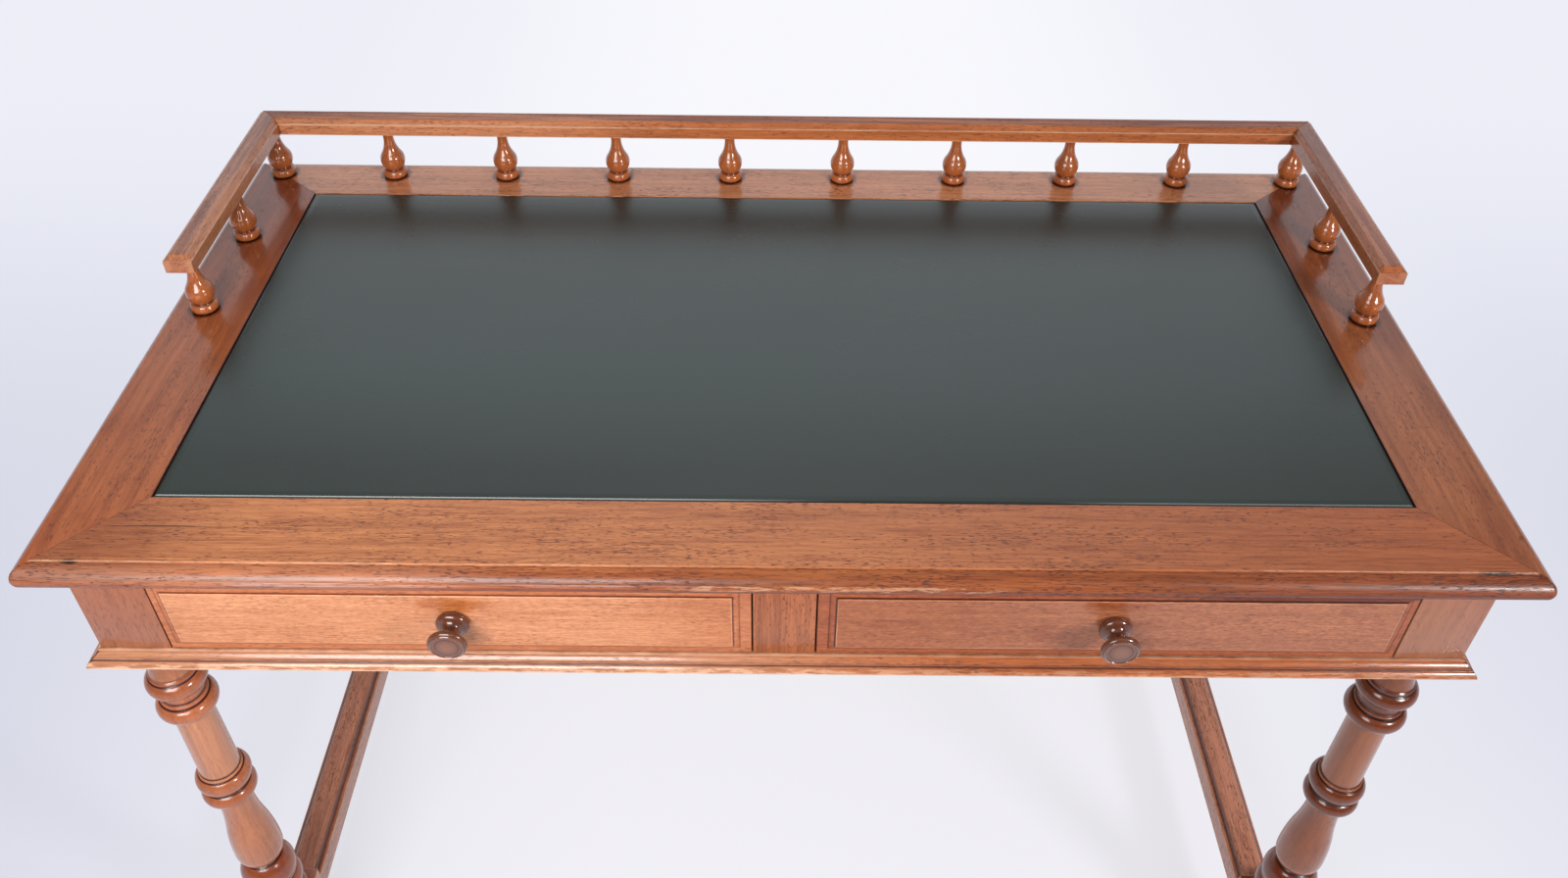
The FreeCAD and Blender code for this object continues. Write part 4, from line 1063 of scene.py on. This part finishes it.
def fit_base_moulding():
    """Three strips: a fillet, a broad hollow, a fine bead, a quirk and a rounded lip."""
    section, bend = worn([(y * MM, z * MM, b) for y, z, b in (
        (0, 0, 0), (0, 14, 0), (-2.5, 14, 0), (-2.5, 12.6, -0.15), (-7.0, 8.0, 0),
        (-7.6, 8.0, 0), (-7.6, 7.0, -0.35), (-9.0, 5.8, 0.18), (-12, 1.2, 0), (-12, 0, 0),
    )], 190, arris=0.13 * MM)
    half_depth = (FRIEZE_BACK - FRIEZE_FRONT) / 2
    middle = (FRIEZE_BACK + FRIEZE_FRONT) / 2
    reach = 12 * MM
    mitred = ((-reach, 0), (-reach, 0))
    square = ((-reach, 0), (0, 0))
    rows = (
        ("front", FRIEZE_SIDE, (mitred, mitred), (0, 0, FRIEZE_FRONT), "moulding_x"),
        ("left", half_depth, (square, mitred), (-90, -FRIEZE_SIDE, middle), "moulding_y"),
        ("right", half_depth, (mitred, square), (90, FRIEZE_SIDE, middle), "moulding_y"),
    )
    for name, half, draws, (turn, x, y), wood in rows:
        place = turned_to(turn, x, y, FRIEZE_LOW)
        fit("base_moulding_" + name, framed(section, bend, half, draws, place), woods[wood])


def fit_stretchers():
    """Stretchers: flat on top, then a step, a bead and a hollow down to the sides."""
    right = [(20, 0, 0), (20, 26, 0), (18.8, 26.8, -0.35), (13.6, 31.7, 0),
             (13.2, 32.4, 0.35), (9.8, 35.3, 0), (9.6, 36, 0)]
    left = [(-y, z, right[i - 1][2] if i else 0) for i, (y, z, _) in enumerate(right)][::-1]
    section, bend = worn([(y * MM, (z - 18) * MM, b) for y, z, b in right + left], 140,
                         arris=0.25 * MM)
    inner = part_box("leg_front_right")[0].x
    half_depth = (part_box("leg_back_left")[0].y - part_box("leg_front_left")[1].y) / 2
    steps = np.array((0, 0.5, 2)) * MM
    wax_and_shade = np.array(((500,), (250,), (0,), (0,), (250,), (500,)))
    for name, turn, half, wood in (("left", 90, half_depth, "stretcher_y"),
                                   ("right", 90, half_depth, "stretcher_y"),
                                   ("back", 0, inner, "stretcher_x")):
        place = turned_to(turn, *middle_of("stretcher_" + name))
        xs = np.concatenate((steps - half, (half - steps)[::-1]))[:, None]
        shell = carried(xs, section[:, 0], section[:, 1], bend - wax_and_shade, place)
        fit("stretcher_" + name, shell, woods[wood])


def fit_drawers():
    """Fronts with a raised field in a coved border, set off by a small quirk.

    Behind the lap a front is a hair smaller, so that the dovetails of the sides show.
    """
    thick = 20 * MM
    tails = 13.1 * MM
    less = 0.2 * MM
    rounding = 0.6 * MM
    rise = 4 * MM
    cove = 6.2 * MM
    side_borders = (12.3 * MM, 16.3 * MM)
    top_border = 13.8 * MM
    low_border = 12.9 * MM
    plate_path, plate_bend = worn([
        (less, 0, 0), (less, tails, 0), (0, tails + less, 0),
        (0, thick - rounding, 0.414), (rounding, thick, 0), (3 * MM, thick, 0)], 36,
        closed=False, arris=0.1 * MM)
    field_path, field_bend = worn([
        (-cove - 1.5 * MM, 0, 0), (-cove, 0, -0.25), (-0.5 * MM, rise - 1.4 * MM, 0),
        (-0.4 * MM, rise - 0.4 * MM, 0), (0, rise, 0), (4 * MM, rise, 0)], 50, closed=False,
        arris=0.12 * MM)
    for side in ("left", "right"):
        node = "drawer_%s_front" % side
        low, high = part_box(node)
        face = low.y + rise
        at_left, at_right = side_borders if side == "left" else side_borders[::-1]
        plate = rect_rings((low.x, high.x, low.z, high.z), plate_path, -plate_bend)
        plate[:, 4] = face + thick - plate[:, 4]
        field = rect_rings((low.x + at_left, high.x - at_right, low.z + low_border,
                            high.z - top_border), field_path, -field_bend)
        field[:, 4] = face - field[:, 4]
        fit(node, ringed(np.concatenate((plate, field)), (0, 2, 1)), woods["drawer_" + side])


def fit_knobs():
    path, bend = turning(KNOB_PATH, 90, 0.2 * MM)
    outward = Matrix.Rotation(math.radians(90), 4, "X")
    for side in ("left", "right"):
        node = "drawer_%s_knob" % side
        x, _, z = middle_of(node)
        shell = turned(path, bend, 64, (x, FIELD_FACE, z), outward)
        fit(node, shell, woods["knob"])


def finish_inner_pieces():
    """The pieces inside keep their CAD shapes."""
    across = ("writing_panel", "mitre_tongues", "drawer_stops", "_back", "_bottom")
    for node, piece in frame["nodes"].items():
        if not node.startswith(("writing_panel", "mitre_tongues", "top_screws", "drawer_")):
            continue
        if node.endswith(("_front", "_knob", "drawer_rail")):
            continue
        finish = inner_x if node.endswith(across) else inner_y
        if node == "top_screws":
            finish = screw_finish
        piece.data.materials.clear()
        piece.data.materials.append(finish)


fit_top()
fit_leather()
fit_gallery()
fit_balusters()
fit_legs()
fit_boards()
fit_base_moulding()
fit_stretchers()
fit_drawers()
fit_knobs()
finish_inner_pieces()


# Floor, light and camera


def lay_floor():
    """A pale paper floor that looks near white to the eye and keeps the desk's shadow."""
    size = 9.0
    corners = np.array(((-size, -size, 0), (size, -size, 0), (size, size, 0), (-size, size, 0)))
    ground = mesh_piece("floor", corners, [[0, 1, 2, 3]])
    paper = Finish("floor_paper")
    paper.set(Base_Color=srgb(237, 235, 244), Roughness=0.9)
    ray = paper.add("ShaderNodeLightPath")
    seen = Field(paper, ray.outputs["Is Camera Ray"]) + Field(paper, ray.outputs["Is Glossy Ray"])
    across, behind, _ = paper.parts(paper.place)
    # Painted shade: the floor's glow is dimmer and bluer toward the sides and the front.
    aside = (across - 0.12).absolute().between(0.3, 1.4)
    aside = aside * (behind.between(2.0, 0.0) * 0.5 + 0.35)
    white = paper.mixed(aside, srgb(249, 249, 254), srgb(224, 227, 244))
    glow = paper.add("ShaderNodeEmission", {}, {"Color": white, "Strength": 1.0})
    share = behind.between(-0.6, 1.8) * 0.32 - aside * 0.11 + 0.66
    mix = paper.add("ShaderNodeMixShader", {}, {
        0: seen.clamped() * share, 1: paper.shader.outputs[0], 2: glow.outputs[0]})
    output = paper.tree.nodes["Material Output"]
    paper.feed(output.inputs["Surface"], mix.outputs[0])
    ground.data.materials.append(paper.material)


def softbox(name, place, aim, size, watts, spread):
    lamp = bpy.data.lights.new(name, "AREA")
    lamp.spread = math.radians(spread)
    lamp.shape = "RECTANGLE"
    lamp.size, lamp.size_y = size
    lamp.energy = watts
    holder = bpy.data.objects.new(name, lamp)
    way = Vector(aim) - Vector(place)
    turn = way.to_track_quat("-Z", "Y").to_matrix().to_4x4()
    holder.matrix_world = Matrix.Translation(place) @ turn
    holder.visible_camera = False
    bpy.context.scene.collection.objects.link(holder)


COOL_WHITE = (0.93, 0.97, 1.03)


def light_studio():
    """White paper behind the desk, a dim room before it, and a softbox at either side."""
    world = bpy.data.worlds.new("studio")
    world.use_nodes = True
    bpy.context.scene.world = world
    sky = Nodes(world.node_tree)
    direction = sky.add("ShaderNodeTexCoord").outputs["Generated"]
    _, behind, up = sky.parts(direction)
    high = behind.between(0.56, 0.80)
    low = behind.between(-0.15, 0.45) * up.between(0.5, 0.1)
    room = up.between(0.3, 0.95) * 0.3 + 0.1
    glow = high * 1.05 + (1.0 - high) * low * 0.6 + room
    light = sky.add("ShaderNodeVectorMath", {"operation": "SCALE"}, {0: COOL_WHITE, "Scale": glow})
    ray = Field(sky, sky.add("ShaderNodeLightPath").outputs["Is Camera Ray"])
    shade = sky.mixed(ray, light.outputs[0], srgb(240, 241, 248))
    sky.feed(world.node_tree.nodes["Background"].inputs["Color"], shade)
    softbox("left_softbox", (-0.55, -1.2, 1.3), (-0.35, -0.2, 0.6), (0.75, 0.6), 6.1, 108)
    softbox("right_softbox", (1.31, -1.2, 1.29), (0.25, -0.2, 0.6), (0.3, 0.3), 16.5, 180)


# The camera of the photograph: its place, where it looks and its angle of view, found from
# the corners of the desk. The frame is 1600 by 896.
WIDE, TALL = 1600, 896
FOCAL = 1288.7
CENTRE = (800, 380)
CAMERA_PLACE = (-0.0076, -0.96155, 1.5057)
PITCH, YAW, ROLL = (math.radians(a) for a in (39.93, 0.38, 0.77))


def set_camera():
    lens = bpy.data.cameras.new("photo_camera")
    lens.sensor_width = 36
    lens.lens = FOCAL / WIDE * lens.sensor_width
    lens.shift_x = (WIDE / 2 - CENTRE[0]) / WIDE
    lens.shift_y = (CENTRE[1] - TALL / 2) / WIDE
    lens.clip_start = 0.05
    lens.clip_end = 100
    camera = bpy.data.objects.new("photo_camera", lens)
    camera.matrix_world = (
        Matrix.Translation(CAMERA_PLACE) @ Matrix.Rotation(-YAW, 4, "Z")
        @ Matrix.Rotation(math.pi / 2 - PITCH, 4, "X") @ Matrix.Rotation(ROLL, 4, "Z"))
    bpy.context.scene.collection.objects.link(camera)
    bpy.context.scene.camera = camera
    bpy.context.scene.view_settings.view_transform = "Standard"


lay_floor()
light_studio()
set_camera()
bpy.context.view_layer.update()
